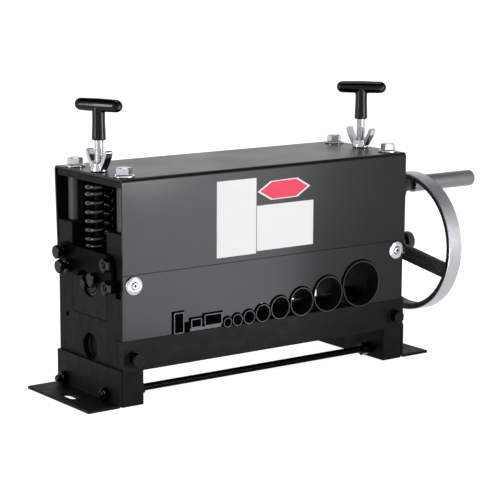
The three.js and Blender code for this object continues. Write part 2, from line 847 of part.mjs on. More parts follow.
for (const [name, x] of [
  ['left_spring', endMiddleX],
  ['right_spring', bodyLength - endMiddleX],
]) {
  const spring = coilSpring(blockTop + seat, topBarBottom - seat);
  console.log(`${name}: least gap to itself ${leastGap(spring).toFixed(2)} mm`);
  place(body, name, spring, springSteel()).position.set(x, middleY, 0);
}

// Where the keeper plates are bolted to the blocks, and where screws bear on the end frames' cheeks
const [backBoltShare, frontBoltShare] = keeperBoltShares;
const keeperBolts = [
  { y: slotBack - seat - keeperBoltWall - m6Radius, z: shaftHeight + shaftToTop * backBoltShare, long: true },
  { y: middleY - bushRadius - seat - bushWall - m6Radius, z: shaftHeight + shaftToTop * frontBoltShare, long: false },
];
const guideScrews = guideScrewShares.map(([across, up]) => {
  return { y: middleY + (slotWidth / 2) * across, z: shaftHeight + shaftToTop * up };
});

// Bearing blocks slide in the end frames' slots, with the blade shaft's bush in each
function bearingBlock() {
  const slide = box(0, endThickness + seat + weld, slotFront + seat, slotBack - seat, blockBottom, blockTop);
  const flange = box(
    endThickness + seat,
    flangeInner,
    slotFront - flangeOverlap,
    slotBack + flangeOverlap,
    blockBottom + flangeDrop,
    blockTop - flangeDrop,
  );
  const keeperHoles = keeperBolts.map(({ y, z }) => {
    return rodX(m6Radius + seat, -overrun, endThickness - seat, y, z, smallSides);
  });
  return cut(
    join(slide, flange),
    rodX(bushRadius + seat, -overrun, flangeInner + overrun, middleY, shaftHeight),
    rodZ(m8Radius + seat, screwFoot - seat, blockTop + overrun, endMiddleX, middleY),
    ...keeperHoles,
  );
}

placePair('bearing_block', bearingBlock(), paint);

function shaftBush() {
  const start = endThickness - bushLength;
  return cut(
    rodX(bushRadius, start, endThickness, middleY, shaftHeight),
    rodX(shaftRadius + seat, -overrun, endThickness + overrun, middleY, shaftHeight),
  );
}

placePair('shaft_bush', shaftBush(), bronze);

// Keeper plates outside the blocks overlap the end frames' cheeks and hold the blocks in.
// Each has its bolts and guide screws on it.
const keeperBackY = slotBack + flangeOverlap + flangeOverlap;
const keeperFrontY = slotFront - flangeOverlap - flangeOverlap / 2;
const keeperLipShare = 0.12; // how far up from the shaft to the block's top the plate's back edge starts

function keeperBolt({ y, z, long }) {
  const headBase = long ? -keeperOuter - longBoltReach + m6HeadHeight : -keeperOuter;
  const shank = rodX(m6Radius, headBase - weld, threadDepth, y, z, smallSides);
  const head = hexagonTowardLeft(m6Flats, m6HeadHeight, headBase, y, z);
  if (!long) return [shank, head];
  return [shank, head, hexagonTowardLeft(m6Flats, m6HeadHeight, -keeperOuter, y, z)];
}

function guideScrew({ y, z }) {
  const tip = -keeperOuter - m6HeadHeight - screwTipReach;
  const screw = rodX(m6Radius, tip, -keeperThickness / 2, y, z, smallSides);
  return [screw, hexagonTowardLeft(m6Flats, m6HeadHeight, -keeperOuter, y, z)];
}

function keeperPlate(boreRadius) {
  const plate = new THREE.Shape();
  const waist = shaftHeight - bushRadius + keeperCorner / 2;
  const lip = shaftHeight + shaftToTop * keeperLipShare;
  plate.moveTo(keeperFrontY, shaftHeight - keeperCorner);
  plate.lineTo(middleY - bushRadius - weld, waist - weld);
  plate.quadraticCurveTo(middleY, waist - keeperCorner, middleY + bushRadius, waist + weld);
  plate.lineTo(middleY + bushRadius + weld, lip);
  plate.lineTo(keeperBackY, lip);
  plate.lineTo(keeperBackY, blockTop - keeperCorner);
  plate.quadraticCurveTo(keeperBackY, blockTop, keeperBackY - keeperCorner, blockTop);
  plate.lineTo(keeperFrontY + keeperCorner, blockTop);
  plate.quadraticCurveTo(keeperFrontY, blockTop, keeperFrontY, blockTop - keeperCorner);
  const bore = rodX(boreRadius + seat, -keeperOuter - overrun, overrun, middleY, shaftHeight);
  const bored = cut(slabX(plate, -keeperOuter, -seat), bore);
  return join(bored, ...keeperBolts.flatMap(keeperBolt), ...guideScrews.flatMap(guideScrew));
}

place(body, 'left_keeper_plate', keeperPlate(spigotRadius), paint());
place(body, 'right_keeper_plate', mirrored(keeperPlate(driveRadius)), paint());

// Blade shaft, with one round blade behind each guide and a spacer tube between the blades
const shaftStart = endThickness - bushLength - seat;

function bladeShaft() {
  const drive = bodyLength - shaftStart;
  return turnedX(
    [
      [0, -keeperOuter - spigotProud],
      [spigotRadius, -keeperOuter - spigotProud],
      [spigotRadius, shaftStart],
      [shaftRadius, shaftStart],
      [shaftRadius, drive],
      [driveRadius, drive],
      [driveRadius, shaftEnd],
      [0, shaftEnd],
    ],
    middleY,
    shaftHeight,
  );
}

place(body, 'blade_shaft', bladeShaft(), machined());

const channels = [...tubes.map(({ x }) => x), ...flats.map(({ middle }) => middle)].reverse();

// The blades and the spacers between them, clamped together as one sleeve on the shaft
function bladeGang() {
  const start = flangeInner + seat;
  const end = bodyLength - start;
  const bore = shaftRadius + seat;
  const half = bladeThickness / 2;
  const profile = [
    [bore, start],
    [bladeSpacerRadius, start],
  ];
  for (const x of channels) {
    profile.push([bladeSpacerRadius, x - half], [bladeRadius - bladeBevel, x - half], [bladeRadius, x]);
    profile.push([bladeRadius - bladeBevel, x + half], [bladeSpacerRadius, x + half]);
  }
  profile.push([bladeSpacerRadius, end], [bore, end], [bore, start]);
  return turnedX(profile, middleY, shaftHeight);
}

place(body, 'round_blades', bladeGang(), toolSteel());

// Lower roller, grooved in line with each guide
function roller() {
  const widths = [
    ...tubes.map(({ x, radius }) => [x, radius - tubeWall]),
    ...flats.map(({ left, right, middle }) => [middle, (right - left) / 2 - tubeWall]),
  ].reverse();
  const start = endThickness + seat;
  const end = bodyLength - start;
  const rollerRadius = grooveRadius + grooveDepth;
  const profile = [
    [0, rollerBushDepth + seat],
    [journalRadius, rollerBushDepth + seat],
    [journalRadius, start],
    [rollerRadius, start],
  ];
  for (const [x, half] of widths) {
    profile.push([rollerRadius, x - half], [grooveRadius, x - half + seat]);
    profile.push([grooveRadius, x + half - seat], [rollerRadius, x + half]);
  }
  profile.push(
    [rollerRadius, end],
    [journalRadius, end],
    [journalRadius, bodyLength - rollerBushDepth - seat],
    [0, bodyLength - rollerBushDepth - seat],
  );
  return turnedX(profile, middleY, rollerHeight, roundSides);
}

place(body, 'feed_roller', roller(), machined());

function rollerBush() {
  return cut(
    rodX(rollerBushRadius, rollerBushDepth, endThickness, middleY, rollerHeight),
    rodX(journalRadius + seat, 0, endThickness + overrun, middleY, rollerHeight),
  );
}

placePair('roller_bush', rollerBush(), bronze);

// Handwheel: a rim, a hub nearer the body and three sloping spokes
const wheel = new THREE.Group();
wheel.position.set(0, middleY, shaftHeight);
wheel.rotation.x = -THREE.MathUtils.degToRad(spokeAngle);
body.add(wheel);

const rimInner = wheelRadius - rimDepth;

function spoke() {
  const half = spokeThickness / 2;
  const hubMiddle = (hubStart + hubEnd) / 2;
  const rimMiddle = (rimStart + rimEnd) / 2;
  const side = new THREE.Shape();
  side.moveTo(hubMiddle - half, driveRadius + weld);
  side.lineTo(hubMiddle + half, driveRadius + weld);
  side.lineTo(rimMiddle + half, rimInner + weld);
  side.lineTo(rimMiddle - half, rimInner + weld);
  return slabY(side, -spokeWidth / 2, spokeWidth / 2);
}

function handwheel() {
  const rim = turnedX(
    [
      [rimInner, rimStart],
      [wheelRadius - rimChamfer, rimStart],
      [wheelRadius, rimStart + rimChamfer],
      [wheelRadius, rimEnd - rimChamfer],
      [wheelRadius - rimChamfer, rimEnd],
      [rimInner, rimEnd],
      [rimInner, rimStart],
    ],
    0,
    0,
    wheelSides,
  );
  const hub = rodX(hubRadius, hubStart, hubEnd, 0, 0);
  const spokes = [];
  for (let i = 0; i < spokeCount; i += 1) {
    spokes.push(spoke().rotateX((i * Math.PI * 2) / spokeCount));
  }
  const boss = rodX(wheelBossRadius, crankBossStart, crankBossEnd, 0, crankRadius);
  const shaftBore = rodX(driveRadius + seat, hubStart - overrun, hubEnd + overrun, 0, 0);
  const crankBore = rodX(spindleRadius + seat, crankBossStart - overrun, crankBossEnd + overrun, 0, crankRadius);
  const grubHole = rodZ(m5Radius + seat, -hubRadius - overrun, 0, (hubStart + hubEnd) / 2, 0, smallSides);
  return cut(join(rim, hub, ...spokes, boss), shaftBore, crankBore, grubHole);
}

place(wheel, 'handwheel', handwheel(), castBlack());
const grubTop = -driveRadius - seat - seat;
place(
  wheel,
  'wheel_grub_screw',
  rodZ(m5Radius, grubTop - grubLength, grubTop, (hubStart + hubEnd) / 2, 0, smallSides),
  blackSteel(),
);

function endCap() {
  const start = shaftEnd + endCapWall - endCapLength;
  return turnedX(
    [
      [driveRadius + seat, start],
      [endCapRadius, start],
      [endCapRadius, start + endCapLength - rimChamfer],
      [endCapRadius - rimChamfer, start + endCapLength],
      [0, start + endCapLength],
      [0, shaftEnd + seat],
      [driveRadius + seat, shaftEnd + seat],
      [driveRadius + seat, start],
    ],
    0,
    0,
  );
}

place(wheel, 'shaft_end_cap', endCap(), castBlack());

// Crank handle: a grip that turns on a spindle, which is bolted through the wheel's boss
const spindleEnd = gripEnd - gripRadius;

function crankSpindle() {
  const nutStart = crankBossStart - seat - m6NutHeight;
  const pin = rodX(spindleRadius, nutStart - spigotProud, spindleEnd, 0, crankRadius);
  const collarEnd = crankBossEnd + seat + spindleCollarLength;
  const collar = hexagonTowardLeft(spindleCollarFlats, spindleCollarLength, collarEnd, 0, crankRadius);
  const nut = hexagonTowardLeft(m8Flats - weld, m6NutHeight, crankBossStart - seat, 0, crankRadius);
  return join(pin, collar, nut);
}

function crankGrip() {
  return turnedX(
    [
      [spindleRadius + seat, gripStart],
      [gripRadius - gripChamfer / 2, gripStart],
      [gripRadius, gripStart + gripChamfer / 2],
      [gripRadius, gripEnd - gripChamfer],
      [gripRadius - gripChamfer, gripEnd],
      [0, gripEnd],
      [0, spindleEnd + seat],
      [spindleRadius + seat, spindleEnd + seat],
      [spindleRadius + seat, gripStart],
    ],
    0,
    crankRadius,
  );
}

place(wheel, 'crank_spindle', crankSpindle(), zinc());
place(wheel, 'crank_grip', crankGrip(), machined());

// The row frame's origin is the middle of the base of the whole machine
const machine = new THREE.Group();
body.position.set(-(gripEnd - footReach) / 2, -middleY, 0);
machine.add(body);
console.log(`one turn of a T handle moves the carriage ${screwPitch} mm, up to ${travel} mm`);

export default machine;
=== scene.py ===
# %% [markdown]
# # Dressing a hand crank wire stripper
# The machine is a bench tool for scrap cable. A cable goes in through one of eleven guides in the
# front, a grooved roller carries it, and round blades on a shaft above slit its jacket while the
# user turns the handwheel. The CAD model is the frame of this scene: its pieces have the real sizes
# and places, but they are faceted. Here each visible piece is made again with smooth curves, real
# edges and a finish, in the place where the CAD holds it.

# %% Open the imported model
import math

import bmesh
import bpy
from mathutils import Matrix, Vector


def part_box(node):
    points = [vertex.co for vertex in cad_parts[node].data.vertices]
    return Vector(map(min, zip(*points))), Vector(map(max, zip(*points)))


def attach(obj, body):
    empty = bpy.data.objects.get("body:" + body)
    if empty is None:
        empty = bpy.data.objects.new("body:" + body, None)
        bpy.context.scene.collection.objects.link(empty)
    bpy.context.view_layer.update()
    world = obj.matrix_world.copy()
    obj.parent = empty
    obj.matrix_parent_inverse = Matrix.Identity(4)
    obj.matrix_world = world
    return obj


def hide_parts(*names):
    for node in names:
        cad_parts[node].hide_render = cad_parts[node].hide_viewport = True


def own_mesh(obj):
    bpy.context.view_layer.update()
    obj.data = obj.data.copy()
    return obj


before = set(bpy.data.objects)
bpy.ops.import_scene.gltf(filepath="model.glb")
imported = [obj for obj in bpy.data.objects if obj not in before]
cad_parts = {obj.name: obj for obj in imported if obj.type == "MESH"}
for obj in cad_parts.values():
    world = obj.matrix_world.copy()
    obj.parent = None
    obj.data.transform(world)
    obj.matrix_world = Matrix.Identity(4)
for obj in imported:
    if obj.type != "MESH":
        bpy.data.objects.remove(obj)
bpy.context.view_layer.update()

# %% [markdown]
# ## Measuring from the machine's own corner
# The model's frame is in metres from the middle of the base. A workshop would measure this machine
# in millimetres from its left end, its front face and the bench, so the pieces below use those
# numbers. The front rail's low corner in the CAD gives the left end and the front face, and one
# matrix takes machine millimetres to the model's frame.

# %% Machine millimetres
rail_low, rail_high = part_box("front_rail")
machine_corner = Vector((rail_low.x, rail_low.y, 0))
to_frame = Matrix.Translation(machine_corner) @ Matrix.Scale(0.001, 4)


def span(node_name):
    """The low and high corners of a CAD node, in machine millimetres."""
    low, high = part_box(node_name)
    return (low - machine_corner) * 1000, (high - machine_corner) * 1000


def middle_height(node_name):
    low, high = span(node_name)
    return (low.z + high.z) / 2


body_length = (rail_high.x - rail_low.x) * 1000
print("body length", round(body_length, 1), "mm")

# %% [markdown]
# ## Making meshes from points
# Every piece starts as a list of points and faces. The normals are then turned outwards, because
# shading, bevels and booleans all depend on them. Faces are shaded smooth, and an edge stays crisp
# where two faces meet at more than the given angle.

# %% A piece from points and faces
def shown(name, mesh):
    """Put a mesh into the scene as an object."""
    piece = bpy.data.objects.new(name, mesh)
    bpy.context.scene.collection.objects.link(piece)
    return piece


def piece_from(name, points, faces, crisp=35):
    mesh = bpy.data.meshes.new(name)
    mesh.from_pydata([to_frame @ Vector(point) for point in points], [], faces)
    work = bmesh.new()
    work.from_mesh(mesh)
    bmesh.ops.recalc_face_normals(work, faces=work.faces)
    work.to_mesh(mesh)
    work.free()
    mesh.shade_smooth()
    mesh.set_sharp_from_angle(angle=math.radians(crisp))
    return shown(name, mesh)


# %% [markdown]
# Most round pieces of this machine came off a lathe, so they are made the same way: a profile of
# radius and place along the axis, carried round in many small steps. A profile that ends where it
# began makes a ring, and one that starts and ends on the axis makes a solid.

# %% Turned pieces
def along_axis(axis, u, v, along):
    """A point from two coordinates across an axis and one along it."""
    return {"x": (along, u, v), "y": (u, along, v), "z": (u, v, along)}[axis]


def turned(name, profile, axis, centre=(0, 0, 0), sides=96, crisp=35):
    ring_shaped = profile[0] == profile[-1]
    points, rings = [], []
    for radius, along in profile[:-1] if ring_shaped else profile:
        ring = []
        for i in range(sides if radius else 1):
            angle = math.tau * i / sides
            across = radius * math.cos(angle), radius * math.sin(angle)
            ring.append(len(points))
            points.append(Vector(centre) + Vector(along_axis(axis, *across, along)))
        rings.append(ring)
    following = rings[1:] + rings[:1] if ring_shaped else rings[1:]
    faces = []
    for ring, after in zip(rings, following):
        for i in range(sides):
            j = i + 1
            near = [ring[i % len(ring)], ring[j % len(ring)]]
            far = [after[j % len(after)], after[i % len(after)]]
            faces.append(list(dict.fromkeys(near + far)))
    return piece_from(name, points, faces, crisp)


def rod(name, radius, low, high, axis, centre, sides=64):
    return turned(name, [(0, low), (radius, low), (radius, high), (0, high)], axis, centre, sides)


def drum(inner, outer, low, high, slant, rise):
    """The profile of a drum whose outer corners are broken. An inner radius of 0 makes it solid."""
    wall = [(outer - slant, low), (outer, low + rise), (outer, high - rise), (outer - slant, high)]
    profile = [(inner, low), *wall, (inner, high)]
    return profile + profile[:1] if inner else profile


# %% [markdown]
# Plates and bars are a flat outline with a thickness. A sawn or sheared corner is sharp and a bent
# one is an arc, so each corner of an outline carries its own radius.

# %% Plates with rounded corners
def rounded(corners, steps=8):
    """An outline from corners given as across, up and the radius of the corner."""
    path = []
    for i, (u, v, radius) in enumerate(corners):
        here = Vector((u, v))
        if not radius:
            path.append((u, v))
            continue
        back = (Vector(corners[i - 1][:2]) - here).normalized()
        on = (Vector(corners[(i + 1) % len(corners)][:2]) - here).normalized()
        half = back.angle(on) / 2
        middle = here + (back + on).normalized() * (radius / math.sin(half))
        first = here + back * (radius / math.tan(half)) - middle
        last = here + on * (radius / math.tan(half)) - middle
        start = math.atan2(first.y, first.x)
        turn = (math.atan2(last.y, last.x) - start + math.pi) % math.tau - math.pi
        for k in range(steps + 1):
            angle = start + turn * k / steps
            path.append((middle.x + radius * math.cos(angle), middle.y + radius * math.sin(angle)))
    return path


def box_outline(u0, u1, v0, v1, radius, steps=8):
    return rounded([(u0, v0, radius), (u1, v0, radius), (u1, v1, radius), (u0, v1, radius)], steps)


def slab(name, outline, low, high, axis):
    count = len(outline)
    points = [along_axis(axis, u, v, along) for along in (low, high) for u, v in outline]
    faces = [list(range(count)), list(range(count, 2 * count))]
    faces += [[i, (i + 1) % count, count + (i + 1) % count, count + i] for i in range(count)]
    return piece_from(name, points, faces)


def block(name, x0, x1, y0, y1, z0, z1):
    return slab(name, [(x0, y0), (x1, y0), (x1, y1), (x0, y1)], z0, z1, "z")


# %% [markdown]
# Drilling, slotting and welding are booleans. They run as modifiers and are then settled into the
# mesh, and the tools are thrown away. A voxel remesh does the opposite job: it melts overlapping
# shells into one skin with soft inner corners, which is what a casting or a moulding looks like.

# %% Drilling, joining and melting together
def settle(piece):
    """Put the result of the modifiers into the mesh."""
    view = bpy.context.evaluated_depsgraph_get()
    made = bpy.data.meshes.new_from_object(piece.evaluated_get(view))
    piece.modifiers.clear()
    piece.data = made


def combine(piece, how, tools):
    for tool in tools:
        step = piece.modifiers.new(how.lower(), "BOOLEAN")
        step.operation, step.solver, step.object = how, "EXACT", tool
    settle(piece)
    for tool in tools:
        bpy.data.objects.remove(tool)
    piece.data.shade_smooth()
    piece.data.set_sharp_from_angle(angle=math.radians(35))
    return piece


def drilled(piece, *tools):
    return combine(piece, "DIFFERENCE", tools)


def joined(name, *pieces):
    """Several meshes as one piece."""
    whole = bmesh.new()
    for piece in pieces:
        whole.from_mesh(piece.data)
        bpy.data.objects.remove(piece)
    mesh = bpy.data.meshes.new(name)
    whole.to_mesh(mesh)
    whole.free()
    return shown(name, mesh)


def melted(name, shells, voxel, rounds):
    """One soft skin round overlapping shells. The voxel is in millimetres."""
    piece = joined(name, *shells)
    skin = piece.modifiers.new("melt", "REMESH")
    skin.mode, skin.voxel_size, skin.use_smooth_shade = "VOXEL", voxel / 1000, True
    ease = piece.modifiers.new("ease", "SMOOTH")
    ease.factor, ease.iterations = 0.5, rounds
    settle(piece)
    piece.data.shade_smooth()
    return piece


# %% [markdown]
# No real edge is perfectly sharp, and the thin line of light along it is what makes metal look
# heavy. Each plate and bar therefore gets a small bevel, a few tenths of a millimetre wide. The last
# helpers turn or mirror a finished piece: the right end of the machine mirrors the left.

# %% Broken edges, turned and mirrored copies
def softened(piece, width, segments=2, angle=35):
    edge = piece.modifiers.new("edge", "BEVEL")
    edge.width, edge.segments = width / 1000, segments
    edge.limit_method, edge.angle_limit = "ANGLE", math.radians(angle)
    edge.harden_normals, edge.miter_outer = True, "MITER_ARC"
    piece.data.shade_smooth()
    piece.data.set_sharp_from_angle(angle=math.pi)
    return piece


def turned_about(piece, axis, degrees, centre):
    middle = Matrix.Translation(to_frame @ Vector(centre))
    piece.data.transform(middle @ Matrix.Rotation(math.radians(degrees), 4, axis) @ middle.inverted())
    return piece


def mirrored(piece):
    """The right end's copy of a piece of the left end."""
    twin = piece.copy()
    twin.name, twin.data = piece.name.replace("left", "right"), piece.data.copy()
    middle = Matrix.Translation(to_frame @ Vector((body_length / 2, 0, 0)))
    twin.data.transform(middle @ Matrix.Scale(-1, 4, (1, 0, 0)) @ middle.inverted())
    twin.data.flip_normals()
    bpy.context.scene.collection.objects.link(twin)
    return twin


# %% [markdown]
# ## Colours and nodes
# The colours are written as sRGB hex values, as a paint chart or a picture editor gives them.
# Blender shades in linear light, so one function converts them. A second small function adds a
# shader node with its settings and its links.

# %% Helpers for materials
def linear(hex_colour):
    parts = [int(hex_colour[i : i + 2], 16) / 255 for i in (1, 3, 5)]
    return [c / 12.92 if c <= 0.04045 else ((c + 0.055) / 1.055) ** 2.4 for c in parts] + [1]


def add(tree, kind, inputs, **settings):
    made = tree.nodes.new(kind)
    for key, value in settings.items():
        setattr(made, key, value)
    for socket, value in inputs.items():
        if isinstance(value, bpy.types.NodeSocket):
            tree.links.new(value, made.inputs[socket])
        else:
            made.inputs[socket].default_value = value
    return made


def begin(name, **sockets):
    """A material with one Principled shader, and the mesh's own place in metres."""
    material = bpy.data.materials.new(name)
    material.use_nodes = True
    tree = material.node_tree
    shader = tree.nodes["Principled BSDF"]
    for socket, value in sockets.items():
        shader.inputs[socket.replace("_", " ")].default_value = value
    place = add(tree, "ShaderNodeTexCoord", {}).outputs["Object"]
    return material, tree, shader, place


def per_metre(size_mm):
    """Texture scale for a pattern whose marks are this far apart."""
    return 1000 / size_mm


def two_tones(ramp, dark_at, dark, light_at, light):
    """Set the two ends of a colour ramp."""
    for element, position, colour in zip(ramp.elements, (dark_at, light_at), (dark, light)):
        element.position, element.color = position, colour


# %% [markdown]
# ## Black powder coat
# The cover and the lower plate are bent steel sheet with baked semi-gloss black powder coat. The
# powder melts into a skin with a faint orange peel, about 3 mm from crest to crest, so reflections
# are soft and slightly uneven. It is a clear-bound polymer, IOR about 1.5, not a metal. A thin
# smoother coat over it stands for the skin of binder on top.

# %% Powder coat
powder_coat, tree, shader, place = begin(
    "powder_coat_black",
    Base_Color=linear("#101012"),
    Roughness=0.34,
    IOR=1.5,
    Specular_IOR_Level=0.12,
    Coat_Weight=0.13,
    Coat_Roughness=0.16,
)
clouds = add(tree, "ShaderNodeTexNoise", {"Vector": place, "Scale": per_metre(45), "Detail": 3})
gloss = add(
    tree,
    "ShaderNodeMapRange",
    {"Value": clouds.outputs["Fac"], "From Min": 0.3, "From Max": 0.7, "To Min": 0.3, "To Max": 0.37},
)
tree.links.new(gloss.outputs["Result"], shader.inputs["Roughness"])
peel = add(tree, "ShaderNodeTexNoise", {"Vector": place, "Scale": per_metre(3), "Detail": 2})
bumps = add(tree, "ShaderNodeBump", {"Height": peel.outputs["Fac"], "Strength": 0.04, "Distance": 0.0002})
tree.links.new(bumps.outputs["Normal"], shader.inputs["Normal"])
print("made", powder_coat.name)

# %% [markdown]
# ## Black paint on hot-rolled plate
# The end frames, the rail, the feet and the keeper plates are thick hot-rolled steel with a thin
# coat of satin black. The mill scale and the grinding under it show through as streaks about 1 mm
# apart and a slight mottling, and the gloss is much lower than the powder coat's. The keeper plates
# have the thickest and darkest coat, and with almost no shine they stay behind their own bolts.

# %% Painted plate
def plate_paint(name, streak_stretch, colour, dull, shine=0.07):
    """Thin paint over ground steel. The stretch says along which axis the grinding runs."""
    material, tree, shader, place = begin(
        name, Base_Color=linear(colour), Roughness=dull, IOR=1.5, Specular_IOR_Level=shine
    )
    brushed = add(tree, "ShaderNodeMapping", {"Vector": place, "Scale": streak_stretch})
    fine = {"Vector": brushed.outputs["Vector"], "Scale": per_metre(1.2), "Detail": 4}
    streaks = add(tree, "ShaderNodeTexNoise", fine)
    mottle = add(tree, "ShaderNodeTexNoise", {"Vector": place, "Scale": per_metre(9), "Detail": 5})
    patterns = {0: streaks.outputs["Fac"], 1: mottle.outputs["Fac"]}
    both = add(tree, "ShaderNodeMath", patterns, operation="MULTIPLY")
    tone = add(tree, "ShaderNodeValToRGB", {"Fac": both.outputs["Value"]})
    thick, thin = ([share * c for c in linear(colour)[:3]] + [1] for share in (0.75, 1.5))
    two_tones(tone.color_ramp, 0.12, thick, 0.42, thin)
    tree.links.new(tone.outputs["Color"], shader.inputs["Base Color"])
    dullness = {"From Min": 0.1, "From Max": 0.4, "To Min": dull + 0.08, "To Max": dull - 0.08}
    matt = add(tree, "ShaderNodeMapRange", {"Value": both.outputs["Value"], **dullness})
    tree.links.new(matt.outputs["Result"], shader.inputs["Roughness"])
    height = {"Height": both.outputs["Value"], "Strength": 0.16, "Distance": 0.0003}
    bumps = add(tree, "ShaderNodeBump", height)
    tree.links.new(bumps.outputs["Normal"], shader.inputs["Normal"])
    return material


upright_paint = plate_paint("plate_paint_upright", (1, 1, 0.08), "#0c0c0d", 0.56)
rail_paint = plate_paint("plate_paint_lengthwise", (0.05, 1, 1), "#0d0d0e", 0.52)
keeper_paint = plate_paint("plate_paint_keeper", (1, 1, 0.3), "#040405", 0.42, shine=0.02)
print("made", [m.name for m in (upright_paint, rail_paint, keeper_paint)])

# %% [markdown]
# ## Black oxide, zinc and bare steel
# The machine's small parts are steel with one thin skin or another: oxide, phosphate, zinc, or none.
# Each is one metal whose gloss drifts over a few millimetres, as handled and plated parts do. The
# oxide is half metal and half crust, and phosphate is all crust, so they are less metallic.

# %% Metals
def metal(name, colour, rough, cloud_mm, cloud_by, metallic=1.0, shine=0.5):
    """A metal whose gloss drifts a little from place to place."""
    material, tree, shader, place = begin(
        name, Base_Color=linear(colour), Metallic=metallic, Roughness=rough, Specular_IOR_Level=shine
    )
    drift = add(tree, "ShaderNodeTexNoise", {"Vector": place, "Scale": per_metre(cloud_mm), "Detail": 4})
    reach = {"From Min": 0.3, "From Max": 0.7, "To Min": rough - cloud_by, "To Max": rough + cloud_by}
    gloss = add(tree, "ShaderNodeMapRange", {"Value": drift.outputs["Fac"], **reach})
    tree.links.new(gloss.outputs["Result"], shader.inputs["Roughness"])
    return material


# Bolts, nuts and rods: a sharp but dark shine.
black_oxide = metal("black_oxide_steel", "#080809", 0.24, 4, 0.08, metallic=0.4, shine=0.16)
# Plating on a rolled thread: pale ridges that mirror no single lamp.
dull_zinc = metal("zinc_on_rolled_thread", "#c2c4c7", 0.34, 2, 0.04)
# Plating on smooth heads and wing nuts: bright and a little cloudy.
zinc = metal("bright_zinc_plate", "#b4b7bb", 0.2, 2.5, 0.05)
# Drawing leaves wire smooth, so each turn of a spring carries one bright line.
spring_wire = metal("drawn_spring_wire", "#37383a", 0.2, 3, 0.05)
# The blades and the roller are nearly black: painted shade for the dark inside the machine.
blade_steel_painted_shade = metal("tool_steel_painted_shade", "#070708", 0.6, 5, 0.06)
# Oil turns the bronze of the bushes brown.
bearing_bronze = metal("oiled_bronze", "#2a2219", 0.3, 4, 0.08)
# Sawn rims and the packing strip are bare and dull grey.
cut_edge = metal("bare_cut_edge", "#323437", 0.42, 1.5, 0.08, metallic=0.7)
# Spacers are plain tube, grey without a clear reflection.
plain_steel = metal("plain_steel_tube", "#3c3d3f", 0.5, 4, 0.08)
# Hands keep the grip rubbed: one broad soft light along it.
satin_steel = metal("satin_grip_steel", "#75777a", 0.38, 5, 0.05)
# Dark steel with soft lights on the shaft; on the screws inside their springs the dark is painted shade.
dark_steel_and_painted_shade = metal("oiled_shaft_steel", "#131314", 0.35, 4, 0.08)
# The guides are phosphated black tube, pushed to near black and without shine: painted shade in their
# bores.
black_tube_and_painted_shade = metal("phosphated_tube", "#060606", 0.8, 3, 0.1, metallic=0, shine=0.08)
# The wheel's rim is bare and bright from the lathe.
turned_steel = metal("turned_bright_steel", "#aaacaf", 0.36, 6, 0.05)
print("made", [m.name for m in (black_oxide, zinc, spring_wire, blade_steel_painted_shade, turned_steel)])

# %% [markdown]
# Zinc crystals give the plated heads a fine grain, drawn 0.8 mm apart. The lathe's feed marks on the
# rim are real rings of about 0.1 mm. Those would be lost in the picture, so they are drawn as faint
# waves of 3.1 mm: a wave texture turns once in tau / 20 of its own units.

# %% Grain and feed marks
def relief(material, kind, inputs, strength, depth, **settings):
    """Raise a pattern a little on a finished material. The depth is in metres."""
    tree = material.node_tree
    place = tree.nodes["Texture Coordinate"].outputs["Object"]
    pattern = add(tree, kind, {"Vector": place, **inputs}, **settings)
    height = {"Height": pattern.outputs["Fac"], "Strength": strength, "Distance": depth}
    bumps = add(tree, "ShaderNodeBump", height)
    tree.links.new(bumps.outputs["Normal"], tree.nodes["Principled BSDF"].inputs["Normal"])


relief(zinc, "ShaderNodeTexNoise", {"Scale": per_metre(0.8), "Detail": 3}, 0.015, 0.0002)
wave = {"Scale": per_metre(math.pi) * math.tau / 20, "Distortion": 0.4, "Detail": 2}
relief(turned_steel, "ShaderNodeTexWave", wave, 0.02, 0.0001, wave_type="BANDS", bands_direction="X")
print("grain on", zinc.name, "and rings on", turned_steel.name)

# %% [markdown]
# ## Casting, moulding and stickers
# The wheel is grey iron cast in sand and painted black, so its skin is pebbled at about 1.2 mm. The
# crest of each pebble is coloured a lighter grey as a painted highlight. The T handles are thick
# glossy black PVC, smooth but a little wavy from dipping. The stickers are printed vinyl, left blank
# here: a little cloudy in their gloss and very slightly wavy where they are stuck on.

# %% Casting, moulding and stickers
sand_cast, tree, shader, place = begin(
    "sand_cast_black", Base_Color=linear("#161618"), Roughness=0.5, IOR=1.5, Specular_IOR_Level=0.3
)
pebbles = {"Vector": place, "Scale": per_metre(1.2), "Detail": 6, "Roughness": 0.65}
sand = add(tree, "ShaderNodeTexNoise", pebbles)
# Lighter grey on the pebble crests is a painted highlight.
painted_pebble_highlight = add(tree, "ShaderNodeValToRGB", {"Fac": sand.outputs["Fac"]})
two_tones(painted_pebble_highlight.color_ramp, 0.45, linear("#0e0e10"), 0.72, linear("#5c5c60"))
tree.links.new(painted_pebble_highlight.outputs["Color"], shader.inputs["Base Color"])
bumps = add(tree, "ShaderNodeBump", {"Height": sand.outputs["Fac"], "Strength": 0.5, "Distance": 0.0004})
tree.links.new(bumps.outputs["Normal"], shader.inputs["Normal"])

gloss_pvc, *_ = begin(
    "glossy_black_pvc", Base_Color=linear("#050506"), Roughness=0.12, IOR=1.53, Specular_IOR_Level=0.16
)
relief(gloss_pvc, "ShaderNodeTexNoise", {"Scale": per_metre(7), "Detail": 2}, 0.02, 0.0004)


def vinyl(name, colour):
    material, tree, shader, place = begin(
        name, Base_Color=linear(colour), Roughness=0.4, IOR=1.46, Specular_IOR_Level=0.15
    )
    waves = add(tree, "ShaderNodeTexNoise", {"Vector": place, "Scale": per_metre(14), "Detail": 2})
    gloss = add(tree, "ShaderNodeMapRange", {"Value": waves.outputs["Fac"], "To Min": 0.34, "To Max": 0.46})
    tree.links.new(gloss.outputs["Result"], shader.inputs["Roughness"])
    height = {"Height": waves.outputs["Fac"], "Strength": 0.03, "Distance": 0.0003}
    bumps = add(tree, "ShaderNodeBump", height)
    tree.links.new(bumps.outputs["Normal"], shader.inputs["Normal"])
    return material


